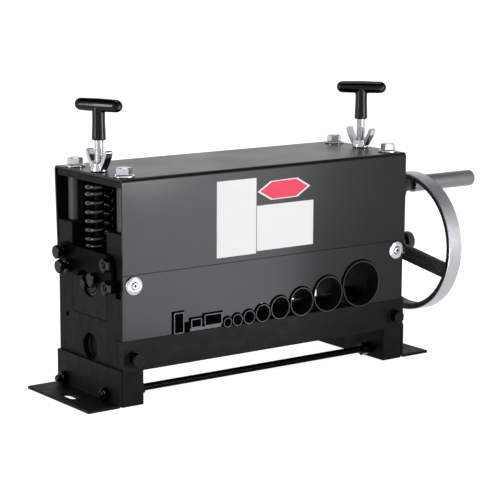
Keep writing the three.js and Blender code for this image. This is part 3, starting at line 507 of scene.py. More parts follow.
white_vinyl = vinyl("white_vinyl", "#f8f8f9")
red_vinyl = vinyl("red_vinyl", "#f83f62")
print("made", [m.name for m in (sand_cast, gloss_pvc, white_vinyl, red_vinyl)])

# %% [markdown]
# Each finished piece is handed over in the same way: it takes its material, it rides on the CAD
# body that carries it, and it stands for the CAD nodes that it replaces. A piece of the left end
# brings its mirror image along.

# %% Handing a piece over
def hand_over(piece, material, body, slot, *nodes):
    piece.data.materials.clear()
    piece.data.materials.append(material)
    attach(piece, body)
    if nodes:
        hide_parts(*nodes)


def both_ends(piece, material, body, slot, *nodes):
    twin = mirrored(piece)
    hand_over(piece, material, body, slot, *nodes)
    hand_over(twin, material, body, slot, *[node.replace("left", "right") for node in nodes])


# %% [markdown]
# ## End frames
# Each end of the machine is one thick plate, flame cut and drilled, with a deep slot in the top in
# which the blade carriage slides. The front rail lies in a notch in its front edge. A plate outline
# and real drills make it, and a bevel of just under half a millimetre breaks its edges.

# %% End frames
air = 0.3
m6_room, m8_room = 3.3, 4.3
end_low, end_high = span("left_end_frame")
end_thickness, end_front, end_back, end_top = end_high.x, end_low.y, end_high.y, end_high.z
middle_y = (end_front + end_back) / 2
slot_front, slot_back, slot_floor = middle_y - 26.5, middle_y + 26.5, 66.5
rail_bottom, rail_top, rail_thickness = rail_low.z * 1000, rail_high.z * 1000, 8
cheeks = (end_front + slot_front) / 2, (end_back + slot_back) / 2
roller_height, shaft_height = middle_height("left_roller_bush"), middle_height("left_shaft_bush")
ends = {"left": end_thickness / 2, "right": body_length - end_thickness / 2}
screw_x = ends["left"]
cover_low, cover_high = span("cover")
seam, top = cover_low.z, cover_high.z
tie_axis, stud_axis = (0, end_front + 18.6, 8.4), (0, end_back - 13, 8.4)

frame_outline = [
    (end_front, 0),
    (end_back, 0),
    (end_back, end_top),
    (slot_back, end_top),
    (slot_back, slot_floor),
    (slot_front, slot_floor),
    (slot_front, end_top),
    (end_front, end_top),
]
past = end_thickness + 3
left_end = drilled(
    slab("left_end_plate", frame_outline, 0, end_thickness, "x"),
    block("notch", -3, past, end_front - 3, rail_thickness + air, rail_bottom - air, rail_top + air),
    block("cheek_slot", -3, 4, end_front + 1.5, end_front + 8.9, seam - 19.2, seam - 4.2),
    rod("roller_drill", 11, -3, past, "x", (0, middle_y, roller_height), 96),
    rod("pin_drill", 2, -3, 8, "x", (0, end_back - 12.6, slot_floor - 4.4), 32),
    rod("tie_drill", m6_room, -3, past, "x", tie_axis, 48),
    rod("stud_drill", m6_room, -3, past, "x", stud_axis, 48),
)
both_ends(softened(left_end, 0.45), upright_paint, "frame", "black_paint", "left_end_frame")
print("end plates", [round(size, 1) for size in (end_thickness, end_back - end_front, end_top)], "mm")

# %% [markdown]
# ## Feet
# The feet are strips of 2.5 mm steel bent on a press brake. The press leaves an inner radius smaller
# than the sheet's thickness and a round outer corner, so the section is drawn with two arcs. A slot
# takes the bench bolt.

# %% Feet
foot_low, foot_high = span("left_foot_bracket")
foot_face, foot_steel = foot_high.x, 2.5
foot_section = rounded(
    [
        (foot_low.x, 0, 0.3),
        (foot_face, 0, 3.2),
        (foot_face, foot_high.z, 0.3),
        (foot_face - foot_steel, foot_high.z, 0.3),
        (foot_face - foot_steel, foot_steel, 0.7),
        (foot_low.x, foot_steel, 0.3),
    ]
)
bench_slot = box_outline(foot_low.x + 8, foot_low.x + 16, middle_y - 10, middle_y + 10, 3.9)
left_foot = drilled(
    slab("left_foot", foot_section, end_front, end_back, "y"),
    slab("bench_slot", bench_slot, -3, 6, "z"),
    rod("tie_drill", m6_room, -9, 3, "x", tie_axis, 48),
    rod("stud_drill", m6_room, -9, 3, "x", stud_axis, 48),
)
both_ends(softened(left_foot, 0.25), rail_paint, "frame", "black_paint", "left_foot_bracket")
print("feet reach", round(-foot_low.x, 1), "mm past the ends")

# %% [markdown]
# ## Hexagon heads and screw threads
# A hexagon head is sawn from hexagon bar and its ends are turned to a cone, which leaves the curved
# bright edge that everyone knows. The height of that edge is worked out at each angle. A thread is a
# groove that climbs one pitch a turn: the V is 60 degrees, with a flat root and crest, and each ring
# of points climbs with it.

# %% Hexagons and threads
def hexagonal(name, flats, low, high, axis, centre, bore=0, crowned=(True, True), steps=10):
    """A nut, or a head when there is no bore. A crowned end has the turned cone."""
    cone_share = 0.96
    inner = flats / 2 * cone_share
    sides = 6 * steps
    angles = [math.tau * i / sides for i in range(sides)]
    corner = [flats / 2 / math.cos((angle + math.pi / 6) % (math.pi / 3) - math.pi / 6) for angle in angles]
    drop = [(reach - inner) * math.tan(math.radians(30)) for reach in corner]

    def ring(reaches, along):
        return [(r * math.cos(a), r * math.sin(a), up) for r, a, up in zip(reaches, angles, along)]

    low_face = [low + d for d in drop] if crowned[0] else [low] * sides
    high_face = [high - d for d in drop] if crowned[1] else [high] * sides
    hole, circle = [bore or 0.01] * sides, [inner] * sides
    rows = [
        ring(hole, [low] * sides),
        ring(circle, [low] * sides),
        ring(corner, low_face),
        ring(corner, high_face),
        ring(circle, [high] * sides),
        ring(hole, [high] * sides),
    ]
    points = [Vector(centre) + Vector(along_axis(axis, *p)) for row in rows for p in row]
    pairs = list(zip(range(6), [1, 2, 3, 4, 5, 0]))[: 6 if bore else 5]
    faces = [
        [a * sides + i, a * sides + (i + 1) % sides, b * sides + (i + 1) % sides, b * sides + i]
        for a, b in pairs
        for i in range(sides)
    ]
    if not bore:
        faces += [list(range(sides)), list(range(5 * sides, 6 * sides))]
    return piece_from(name, points, faces, 20)


def threaded(name, radius, pitch, low, high, axis, centre, sides=28):
    """A threaded rod with chamfered ends. The root is 0.61 of the pitch below the crest."""
    root = radius - 0.613 * pitch
    shape = [(0, root), (0.25, root), (0.56, radius), (0.69, radius)]
    turns = math.ceil((high - low) / pitch) + 2
    points = []
    for i in range(turns * sides + 1):
        angle = math.tau * i / sides
        for share, reach in shape:
            along = min(max(low + pitch * (i / sides + share - 1), low), high)
            reach = min(reach, root - 0.2 + (along - low), root - 0.2 + (high - along))
            across = reach * math.cos(angle), reach * math.sin(angle)
            points.append(Vector(centre) + Vector(along_axis(axis, *across, along)))
    rows = len(shape)
    faces = []
    for i in range(turns * sides - sides):
        for j in range(rows):
            after = (i + sides) * rows if j == rows - 1 else i * rows + j + 1
            faces.append([i * rows + j, after, after + rows, (i + 1) * rows + j])
    core = rod("core", root - 0.2, low, high, axis, centre, sides)
    return joined(name, piece_from(name, points, faces, 40), core)


# %% [markdown]
# ## Tie rod, studs and their nuts
# One M6 rod, threaded over its whole length, ties the end frames together at the front of the feet.
# It is set with two nuts inside each frame and one outside each foot. The backs of the feet have a
# short stud each.

# %% Tie rod and studs
m6_radius, m6_pitch, m6_flats, m6_nut_height, nut_bore = 3, 1, 10, 5, 2.7
rod_low, rod_high = span("tie_rod")
tie_rod = threaded("threaded_tie_rod", m6_radius, m6_pitch, rod_low.x, rod_high.x, "x", tie_axis, 24)
hand_over(tie_rod, black_oxide, "frame", "black_steel", "tie_rod")
outer_start = foot_face - foot_steel - air - m6_nut_height


def foot_nut(name, start, axis_point):
    return hexagonal(name, m6_flats, start, start + m6_nut_height, "x", axis_point, bore=nut_bore)


inner_start = end_thickness + air
lock_start = inner_start + m6_nut_height + air
for name, start in (("outer", outer_start), ("inner", inner_start), ("lock", lock_start)):
    both_ends(foot_nut(f"left_{name}_tie_nut", start, tie_axis), black_oxide, "frame", "black_steel")

stud_low, stud_high = span("left_back_stud")
stud = threaded("left_foot_stud", m6_radius, m6_pitch, stud_low.x, stud_high.x, "x", stud_axis, 24)
stud_nut = foot_nut("left_stud_nut", outer_start, stud_axis)
both_ends(stud, black_oxide, "frame", "black_steel", "left_back_stud")
both_ends(stud_nut, black_oxide, "frame", "black_steel")
print("tie rod", round(rod_high.x - rod_low.x, 1), "mm long, M6")

# %% [markdown]
# ## Guides
# Eight round tubes and three flat ones stand in a row, each cut from thin black tube. Their cut
# front rims are bare metal and catch the light, which is why the row reads as bright rings round
# black holes. The rim gets its own material on the faces that look forward.

# %% Guides
def bare_front(piece, front):
    """Give the faces at the very front of a guide the look of a fresh cut."""
    piece.data.materials.append(cut_edge)
    limit = (to_frame @ Vector((0, front + 0.1, 0))).y
    for face in piece.data.polygons:
        if all(piece.data.vertices[i].co.y < limit for i in face.vertices):
            face.material_index = 1


tube_wall = 1
tube_places = []
for number in range(1, 9):
    low, high = span(f"guide_tube_{number}")
    x, z, outer = (low.x + high.x) / 2, (low.z + high.z) / 2, (high.z - low.z) / 2
    inner, front, back = outer - tube_wall, low.y, high.y
    rim = [(inner, front + 0.3), (inner + 0.25, front), (outer - 0.25, front), (outer, front + 0.3)]
    tube = turned(f"round_guide_{number}", rim + [(outer, back), (inner, back), rim[0]], "y", (x, 0, z), 96)
    hand_over(tube, black_tube_and_painted_shade, "frame", "black_steel", f"guide_tube_{number}")
    bare_front(tube, front)
    tube_places.append((x, z, outer))

flat_places = []
for name in ("wide_flat_guide", "small_flat_guide", "upright_flat_guide"):
    low, high = span(name)
    x0, x1, z0, z1 = low.x, high.x, low.z, high.z
    shell = slab(name.replace("guide", "tube"), box_outline(x0, x1, z0, z1, 1.3, 6), low.y, high.y, "y")
    bore = box_outline(x0 + tube_wall, x1 - tube_wall, z0 + tube_wall, z1 - tube_wall, 0.5, 4)
    drilled(shell, slab("bore", bore, low.y - 3, high.y + 3, "y"))
    hand_over(shell, black_tube_and_painted_shade, "frame", "black_steel", name)
    bare_front(shell, low.y)
    softened(shell, 0.15, angle=60)
    flat_places.append((x0, x1, z0, z1))

low, high = span("guide_packing_strip")
strip = block("packing_strip", low.x, high.x, low.y, high.y, low.z, high.z)
hand_over(softened(strip, 0.2), cut_edge, "frame", "machined_steel", "guide_packing_strip")
print("guides at x", [round(x) for x, z, outer in tube_places], "mm")

# %% [markdown]
# ## Front rail and lower plate
# The rail is a flat bar with shallow saddles for the tubes. The plate above it is thin powder-coated
# sheet, laser cut around the guides with about a millimetre to spare, so a dark gap runs round each
# rim. The openings run into each other. A boolean stumbles over faces that lie in one plane, so the
# cutters differ a little in length. The plate stops a little short of the right end.

# %% Front rail and lower plate
def along_guides(name, spare, depth):
    """One drill for each round guide."""
    return [rod(name, outer + spare, -3, depth, "y", (x, 0, z), 96) for x, z, outer in tube_places]


rail = block("rail_bar", 0, body_length, 0, rail_thickness, rail_bottom, rail_top)
drilled(rail, *along_guides("saddle", air, rail_thickness + 3))
hand_over(softened(rail, 0.5), rail_paint, "frame", "black_paint", "front_rail")

gap = 1.2
wide, small, upright = flat_places
smallest_x, smallest_z, _ = tube_places[-1]
# Each opening: its two ends, its top, and by how many tenths of a millimetre its cutter is longer.
openings = [(after[0], here[0], after[1], 1) for here, after in zip(tube_places, tube_places[1:])]
openings += [(x0 - gap, x1 + gap, z1 + gap, 2) for x0, x1, z0, z1 in flat_places]
openings += [
    (wide[1], smallest_x, smallest_z, 3),
    (small[1], wide[0], small[3] + gap, 4),
    (upright[1], small[0], rail_top + 8.9, 5),
]
cutters = along_guides("cut", gap, 5)
for x0, x1, z1, tenths in openings:
    more = tenths / 10
    cutters.append(block("opening", x0, x1, -3 - more, 5 + more, rail_top - 2.9 - more, z1))
panel_screw_z = middle_height("left_panel_screw")
cutters += [rod("screw_hole", m8_room, -3, 5, "y", (x, 0, panel_screw_z), 48) for x in ends.values()]
plate_low, plate_high = span("lower_front_plate")
sheet = plate_high.y
lower_plate = block("lower_plate", plate_low.x, plate_high.x, 0, sheet, plate_low.z, plate_high.z)
drilled(lower_plate, *cutters)
hand_over(softened(lower_plate, 0.25), powder_coat, "frame", "black_paint", "lower_front_plate")
print("lower plate has", len(lower_plate.data.polygons), "faces")

# %% [markdown]
# The rail is held by black flanged bolts. The lower plate is held by wide zinc screws with a raised
# middle and a small cross recess, cut with two crossed blades and a point. A thin black disc in the
# recess and a thin black ring round the raised middle are painted shade, because at this size the
# eye knows a screw by those dark marks.

# %% Rail bolts and panel screws
bolt_low, bolt_high = span("left_rail_bolt")
rail_bolt_at = (screw_x, 0, middle_height("left_rail_bolt"))
flange_profile = [(0, -0.3), (6.7, -0.3), (6.8, -0.6), (6.2, -1.4), (0, -1.6)]
rail_bolt = joined(
    "left_rail_bolt_head",
    turned("flange", flange_profile, "y", rail_bolt_at),
    hexagonal("head", m6_flats, bolt_low.y, -1.2, "y", rail_bolt_at, crowned=(True, False)),
    rod("shank", 4, -1, bolt_high.y, "y", rail_bolt_at),
)
both_ends(rail_bolt, black_oxide, "frame", "black_steel", "left_rail_bolt")

screw_at = (screw_x, 0, panel_screw_z)
raised_middle = [(0, -2.7), (2.5, -2.7), (3, -2.2), (3.2, -1.7)]
brim_and_shank = [(7.2, -1.4), (7.7, -0.9), (7.7, -0.3), (4, -0.3), (4, 16), (0, 16)]
x, z, reach, thin = screw_x, panel_screw_z, 2, 0.4
panel_screw = drilled(
    turned("left_panel_screw_head", raised_middle + brim_and_shank, "y", screw_at, 96),
    slab("across", box_outline(x - reach, x + reach, z - thin, z + thin, 0.15), -4, -1.5, "y"),
    slab("upward", box_outline(x - thin, x + thin, z - reach, z + reach, 0.15), -4.1, -1.6, "y"),
    turned("point", [(0, -4.2), (2.6, -4.2), (0.9, -1.2), (0, -1.2)], "y", screw_at, 4),
)
both_ends(softened(panel_screw, 0.12, angle=50), zinc, "frame", "zinc_plate", "left_panel_screw")
# A black disc in the recess and a black ring round the raised middle: painted shade.
ring_profile = [(3.25, -1.78), (3.7, -1.78), (3.7, -1.5), (3.25, -1.5), (3.25, -1.78)]
painted_shade_marks = joined(
    "left_screw_recess",
    rod("recess_floor", 1.1, -2.74, -2.3, "y", screw_at, 32),
    turned("recess_ring", ring_profile, "y", screw_at),
)
both_ends(painted_shade_marks, black_oxide, "frame", "black_steel")
print("bolts at z", round(rail_bolt_at[2], 1), "and screws at z", round(panel_screw_z, 1))

# %% [markdown]
# ## Cover
# The cover is one sheet bent twice, with a wall at the front, a flat top and a back wall that leans
# out a little. It is drawn as its own section, the way it would leave the press brake, with an outer
# radius of 3.4 mm and a tight inner one, and then drilled for the bolts and the adjusting screws.

# %% Cover
back_bottom, back_top = end_back + air + sheet, cover_high.y
cover_section = rounded(
    [
        (0, seam, 0.2),
        (0, top, 3.4),
        (back_top, top, 3.4),
        (back_bottom, seam, 0.2),
        (back_bottom - sheet, seam, 0.2),
        (back_top - sheet, top - sheet, 1.4),
        (sheet, top - sheet, 1.4),
        (sheet, seam, 0.2),
    ],
    10,
)
cover = slab("bent_cover", cover_section, 0, body_length, "x")
drill_places = [(x, y, 0) for x in ends.values() for y in (cheeks[0], middle_y, cheeks[1])]
drilled(cover, *[rod("cover_drill", m8_room, top - 6, top + 4, "z", at, 48) for at in drill_places])
hand_over(softened(cover, 0.35, angle=50), powder_coat, "frame", "black_paint", "cover")
print("cover", round(body_length, 1), "x", round(back_top, 1), "mm, top at", round(top, 1), "mm")

# %% [markdown]
# ## Top bars, spacers and bolts
# Under each end of the cover lies a flat bar. Bolts go down through the cover and the bar, past
# round steel spacers, into the end frames. Their zinc-plated heads stand on flanged washers.

# %% Top bars, spacers and bolts
bar_low, bar_high = span("left_top_bar")
drills = []
left_bar = block("left_bar", 0, bar_high.x, bar_low.y, bar_high.y, bar_low.z, bar_high.z)
for y in (*cheeks, middle_y):
    drills.append(rod("bar_drill", m8_room, bar_low.z - 3, bar_high.z + 3, "z", (screw_x, y, 0)))
drilled(left_bar, *drills)
both_ends(softened(left_bar, 0.4), rail_paint, "frame", "black_paint", "left_top_bar")

washer_face = top + air
washer_steps = [(4.2, 0), (8.4, 0), (8.6, 0.25), (8.6, 0.9), (8.3, 1.1), (6.2, 2), (4.2, 2), (4.2, 0)]
washer_profile = [(radius, washer_face + up) for radius, up in washer_steps]
for row, y in zip(("front", "back"), cheeks):
    at = (screw_x, y, 0)
    low, high = span(f"left_{row}_top_spacer")
    spacer = turned(f"left_{row}_spacer", drum(m8_room, 6, low.z, high.z, 0.4, 0.4), "z", at)
    both_ends(spacer, plain_steel, "frame", "machined_steel", f"left_{row}_top_spacer")
    low, high = span(f"left_{row}_top_bolt")
    bolt = joined(
        f"left_{row}_bolt",
        turned("washer", washer_profile, "z", at),
        hexagonal("head", 11, washer_face + 1.6, high.z, "z", at, crowned=(False, True)),
        rod("shank", 3.95, low.z, washer_face + 2, "z", at),
    )
    both_ends(bolt, zinc, "frame", "zinc_plate", f"left_{row}_top_bolt")
print("bolt heads at y", [round(y, 1) for y in cheeks])

# %% [markdown]
# ## Adjusting screws and T handles
# An M8 screw at each end presses the carriage down or lets it up, 1.25 mm a turn. It is zinc plated
# where its thread shows between the cover and the handle; inside its spring the same thread is dark
# as painted shade. The handle is dipped in thick PVC, so where the crossbar meets the stem there is
# a soft inner corner: the two shapes are melted into one skin.

# %% Adjusting screws and T handles
m8_radius, m8_pitch = 4, 1.25
crossbar_half, crossbar_radius = 22, 5.5
crossbar_z = span("left_t_handle")[1].z - crossbar_radius
handle_angles = {"left": -64.9, "right": -44.4}
half_bar = [(0, -crossbar_half)]
for k in range(1, 13):
    angle = math.pi / 2 * k / 12
    up_the_end = crossbar_radius * (1 - math.cos(angle))
    half_bar.append((crossbar_radius * 0.94 * math.sin(angle), up_the_end - crossbar_half))
crossbar_profile = half_bar + [(crossbar_radius, 0)]
crossbar_profile += [(radius, -along) for radius, along in reversed(half_bar)]

for side, x in ends.items():
    at = (x, middle_y, 0)
    screw_low, screw_high = span(f"{side}_adjusting_screw")
    collar_z = span(f"{side}_bearing_block")[1].z + air
    bar_face = span(f"{side}_top_bar")[0].z
    thread = threaded(f"{side}_screw_thread", m8_radius, m8_pitch, bar_face, screw_high.z, "z", at, 32)
    # Below the top bar the same thread is made dark: painted shade inside the spring.
    shaded_thread = threaded("shaded_thread", m8_radius, m8_pitch, screw_low.z, bar_face, "z", at, 32)
    collar = turned("collar", drum(3.4, 6.4, collar_z, collar_z + 2.4, 0.3, 0.3), "z", at)
    hand_over(thread, dull_zinc, f"{side}_screw", "zinc_plate", f"{side}_adjusting_screw")
    hand_over(joined(f"{side}_screw_in_spring", shaded_thread, collar), dark_steel_and_painted_shade, f"{side}_screw", "zinc_plate")

    crossbar = turned("crossbar", crossbar_profile, "x", (x, middle_y, crossbar_z), 64)
    turned_about(crossbar, "Z", handle_angles[side], at)
    foot = span(f"{side}_t_handle")[0].z
    stem_foot = [(0, foot), (5.3, foot), (5.8, foot + 0.6), (5.6, foot + 6), (5.3, foot + 14)]
    stem = turned("stem", stem_foot + [(5.3, crossbar_z), (0, crossbar_z)], "z", at, 64)
    handle = melted(f"{side}_handle_moulding", [crossbar, stem], 0.4, 6)
    drilled(handle, rod("socket", 4.2, foot - 3, screw_high.z + air, "z", at, 48))
    handle.data.set_sharp_from_angle(angle=math.radians(60))
    hand_over(handle, gloss_pvc, f"{side}_screw", "gloss_black", f"{side}_t_handle")
print("crossbars at z", round(crossbar_z, 1), "mm")

# %% [markdown]
# ## Wing nuts
# A wing nut is pressed from thick zinc-plated steel. The hub is a low cone and the wings sweep up
# and out, thinner at the hub and square at the tips, with rounded edges all round. Hub and wings are
# melted together at 0.3 mm, which leaves the soft fillets of a pressing, and then tapped.

# %% Wing nuts
wing_angles = {"left": -86, "right": -78.6}
wing_half = 3.3
hub_steps = [(0, 0), (6.9, 0), (7.2, 0.4), (7, 2.4), (5.6, 7), (0, 7)]
wing_outline = rounded(
    [
        (2, 1.2, 0),
        (6.4, 1.4, 1),
        (8.6, 4.2, 4),
        (13.2, 11.8, 4),
        (14.4, 16.4, 0.6),
        (11.8, 17.8, 0.6),
        (9.7, 12.6, 4),
        (6, 7.2, 3),
        (2, 6.2, 0),
    ],
    5,
)
for side, x in ends.items():
    at = (x, middle_y, 0)
    seat = span(f"{side}_wing_nut")[0].z
    shells = [turned("hub", [(radius, seat + up) for radius, up in hub_steps], "z", at, 64)]
    for facing in (1, -1):
        outline = [(x + facing * u, seat + v) for u, v in wing_outline]
        shells.append(slab("wing", outline, middle_y - wing_half, middle_y + wing_half, "y"))
    nut = melted(f"{side}_wing_nut_pressing", shells, 0.3, 3)
    drilled(nut, rod("tapping", 4.15, seat - 3, seat + 20, "z", at, 48))
    turned_about(nut, "Z", wing_angles[side], at)
    hand_over(nut, zinc, f"{side}_wing_nut", "zinc_plate", f"{side}_wing_nut")
print("wing nuts span", round(2 * max(u for u, v in wing_outline)), "mm")

# %% [markdown]
# ## Springs
# A spring of 4 mm drawn wire stands round each screw and pushes the carriage down. Its two end
# turns are closed up and its six working turns are evenly open. The wire is a circle carried along a
# helix, and each spring gets a mesh of its own.

# %% Springs
def coil(name, low, high, x, wire=2, outer=11.8, turns=8, closed_pitch=4.1, steps=56, sides=14):
    """A spring whose wire has this radius, and that stands between two heights."""
    rise = high - low - 2 * wire
    open_pitch = (rise - 2 * closed_pitch) / (turns - 2)
    points = []
    for i in range(turns * steps + 1):
        turn = i / steps
        if turn <= 1:
            up = turn * closed_pitch
        elif turn >= turns - 1:
            up = rise - (turns - turn) * closed_pitch
        else:
            up = closed_pitch + (turn - 1) * open_pitch
        angle = math.tau * turn
        for k in range(sides):
            around = math.tau * k / sides
            reach = outer - wire + wire * math.cos(around)
            height = low + wire + up + wire * math.sin(around)
            points.append((x + reach * math.cos(angle), middle_y + reach * math.sin(angle), height))
    faces = [
        [i * sides + k, (i + 1) * sides + k, (i + 1) * sides + (k + 1) % sides, i * sides + (k + 1) % sides]
        for i in range(turns * steps)
        for k in range(sides)
    ]
    faces += [list(range(sides)), list(range(len(points) - sides, len(points)))]
    return piece_from(name, points, faces)


for side, x in ends.items():
    low, high = span(f"{side}_spring")
    spring = coil(f"{side}_coil_spring", low.z, high.z, x)
    hand_over(spring, spring_wire, "frame", "spring_steel", f"{side}_spring")
    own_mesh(spring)
print("springs", round(high.z - low.z, 1), "mm long")

# %% [markdown]
# ## Blade carriage
# At each end a steel block slides in the slot, with a flange inside the frame, and carries the
# shaft in a bronze bush. The roller's bushes sit lower, in the frames themselves.

# %% Bearing blocks and bushes
block_low, block_high = span("left_bearing_block")
block_top, flange_inner = block_high.z, block_high.x
flange_outer, flange_low, flange_high = end_thickness + air, block_low.z + 3, block_top - 3
left_block = combine(
    block("slide", 0, end_thickness + 1.8, slot_front + air, slot_back - air, block_low.z, block_top),
    "UNION",
    [block("flange", flange_outer, flange_inner, slot_front - 8, slot_back + 8, flange_low, flange_high)],
)
left_block.name = "left_sliding_block"
drilled(
    left_block,
    rod("bush_drill", 11.3, -3, flange_inner + 3, "x", (0, middle_y, shaft_height), 96),
    rod("screw_drill", m8_room, shaft_height + 13.2, block_top + 3, "z", (screw_x, middle_y, 0), 48),
)
both_ends(softened(left_block, 0.4, angle=50), rail_paint, "carriage", "black_paint", "left_bearing_block")

bush_bore = 8.3
for name, outer, z, body in (
    ("shaft_bush", 11, shaft_height, "carriage"),
    ("roller_bush", 10.7, roller_height, "frame"),
):
    low, high = (corner.x for corner in span(f"left_{name}"))
    bush_profile = [(bush_bore, low + 0.5), (bush_bore + 0.5, low), (outer - 0.4, low), (outer, low + 0.4)]
    bush_profile += [(outer, high), (bush_bore, high), (bush_bore, low + 0.5)]
    bush = turned(f"left_{name}_ring", bush_profile, "x", (0, middle_y, z))
    both_ends(bush, bearing_bronze, body, "bronze", f"left_{name}")
print("blocks slide between y", round(slot_front, 1), "and", round(slot_back, 1))

# %% [markdown]
# A keeper plate bolted to the outside of the block overlaps the cheeks, so the block can only move
# up and down. The plate is cut round the shaft, its front top corner is well rounded, and a hollow
# in its top makes room for the spring. Black hexagon bolts hold it. Two of them stand out on long
# threaded shanks with a second head.

# %% Keeper plates and their bolts
keeper_outer, keeper_front, keeper_back, keeper_top = 5.3, slot_front - 14, slot_back + 13, block_top + 3
keeper_outline = rounded(
    [
        (keeper_front - 0.5, 91.7, 3),
        (keeper_front + 16.5, 91.7, 2),
        (keeper_front + 17.5, 99, 2),
        (middle_y + 12.6, 98.4, 3),
        (middle_y + 21, 100.3, 2),
        (keeper_back, 101, 2),
        (keeper_back, keeper_top, 2),
        (keeper_front, keeper_top, 10),
    ]
)
keeper = drilled(
    slab("left_keeper", keeper_outline, -keeper_outer, -air, "x"),
    rod("keeper_bore", 11.6, -9, 3, "x", (0, middle_y, shaft_height), 96),
    rod("spring_room", 12.3, block_top - 0.1, block_top + 9, "z", (screw_x, middle_y, 0), 96),
)
left_fittings = [softened(keeper, 0.5, 3)]
# Each bolt's place along y and z, how far it stands out, and where its shank ends inside.
keeper_bolts = {
    "back": (73.4, 105.5, 15.3, 12),
    "front": (35, 99.8, 9.3, 12),
    "guide_1": (15.5, 114.6, 9.3, -2),
    "guide_2": (14, 96.4, 9.3, -2),
    "guide_3": (81, 116, 13, -0.5),
}
for name, (y, z, reach, inside) in keeper_bolts.items():
    at = (0, y, z)
    nut_low, nut_high = -keeper_outer - 4, -keeper_outer - 0.05
    parts = [hexagonal("nut", m6_flats, nut_low, nut_high, "x", at, crowned=(True, False))]
    if reach > 10:
        parts.append(hexagonal("head", m6_flats, -reach - 1, 3 - reach, "x", at))
        parts.append(threaded("shank", m6_radius, m6_pitch, 2 - reach, inside, "x", at, 24))
    elif name == "front":
        parts.append(rod("shank", 2.9, -6, inside, "x", at, 32))
    else:
        parts.append(threaded("tip", m6_radius, m6_pitch, -keeper_outer - 5.4, inside, "x", at, 24))
    left_fittings.append(joined(f"left_keeper_bolt_{name}", *parts))
for piece in left_fittings + [mirrored(piece) for piece in left_fittings]:
    if piece.name.endswith("keeper"):
        hand_over(piece, keeper_paint, "carriage", "black_paint", f"{piece.name}_plate")
    else:
        hand_over(piece, black_oxide, "carriage", "black_steel")
print("each keeper plate has", len(keeper_bolts), "bolts")

# %% [markdown]
# ## Shaft, blades and roller
# These work nearly out of sight: they are seen only through the guides, from below and from behind,
# and they carry the cable. The shaft is turned steel, coloured dark. Eleven round blades, one behind
# each guide, are clamped between spacers, and the roller below has a groove in line with each guide.
# Blades and roller are coloured nearly black: painted shade for the dark inside the machine.

# %% Shaft, blades and roller
shaft_low, shaft_high = span("blade_shaft")
shaft_profile = [
    (0, shaft_low.x),
    (3.2, shaft_low.x),
    (4, shaft_low.x + 0.6),
    (4, 1.5),
    (8, 1.5),
    (8, body_length - 1.5),
    (6, body_length - 1.5),
    (6, shaft_high.x - 0.5),
    (5.5, shaft_high.x),
    (0, shaft_high.x),
]
wheel_axis = (0, middle_y, shaft_height)
shaft = turned("turned_shaft", shaft_profile, "x", wheel_axis)
hand_over(shaft, dark_steel_and_painted_shade, "blade_shaft", "machined_steel", "blade_shaft")

gang_low, gang_high = span("round_blades")
blade_radius, spacer_radius, spacer_bore, bevel_length = (gang_high.z - gang_low.z) / 2, 12, 8.3, 5
channels = [(x, outer - tube_wall) for x, z, outer in tube_places]
channels += [((x0 + x1) / 2, (x1 - x0) / 2 - tube_wall) for x0, x1, z0, z1 in flat_places]
channels.sort()
gang_profile = [(spacer_bore, gang_low.x), (spacer_radius, gang_low.x)]
for x, half in channels:
    blade = [(spacer_radius, 1.1), (blade_radius - bevel_length, 1.1), (blade_radius, 0.04)]
    gang_profile += [(radius, x - along) for radius, along in blade]
    gang_profile += [(radius, x + along) for radius, along in reversed(blade)]
gang_profile += [(spacer_radius, gang_high.x), (spacer_bore, gang_high.x), (spacer_bore, gang_low.x)]
blades = turned("blade_gang", gang_profile, "x", wheel_axis, 128, 10)
hand_over(blades, blade_steel_painted_shade, "blade_shaft", "tool_steel", "round_blades")

roller_low, roller_high = span("feed_roller")
roller_radius = (roller_high.z - roller_low.z) / 2
groove_floor = roller_radius - 5
start, end = end_thickness + air, body_length - end_thickness - air
roller_profile = [(0, roller_low.x), (7.6, roller_low.x), (8, roller_low.x + 0.4), (8, start)]
roller_profile.append((roller_radius, start))
for x, half in channels:
    roller_profile += [(roller_radius, x - half), (groove_floor, x - half + 0.3)]
    roller_profile += [(groove_floor, x + half - 0.3), (roller_radius, x + half)]
roller_profile += [(roller_radius, end), (8, end), (8, roller_high.x - 0.4)]
roller_profile += [(7.6, roller_high.x), (0, roller_high.x)]
roller = turned("grooved_roller", roller_profile, "x", (0, middle_y, roller_height), 96)
hand_over(roller, blade_steel_painted_shade, "feed_roller", "machined_steel", "feed_roller")
print(len(channels), "blades of radius", round(blade_radius, 1), "mm")

# %% [markdown]
# ## Handwheel
# The wheel is one iron casting: a rim, a hub nearer the machine, three sloping spokes and a boss for
# the crank. All of it is painted black except the outside of the rim, which is turned bright after
# painting. The casting is melted together for its soft fillets, and the turned band is a lathe ring
# that stands a hair proud of it.

# %% Handwheel
wheel_radius, rim_start, rim_end = 63.08, body_length + 42, body_length + 57
hub_start, hub_end = body_length + 18, body_length + 34
hub_middle, rim_middle = (hub_start + hub_end) / 2, (rim_start + rim_end) / 2
crank_radius, crank_angle = 51.2, 9
boss_face = rim_start + 10


def on_wheel(piece, degrees):
    """Turn a piece made straight above the shaft to its place round the wheel."""
    return turned_about(piece, "X", -degrees, wheel_axis)


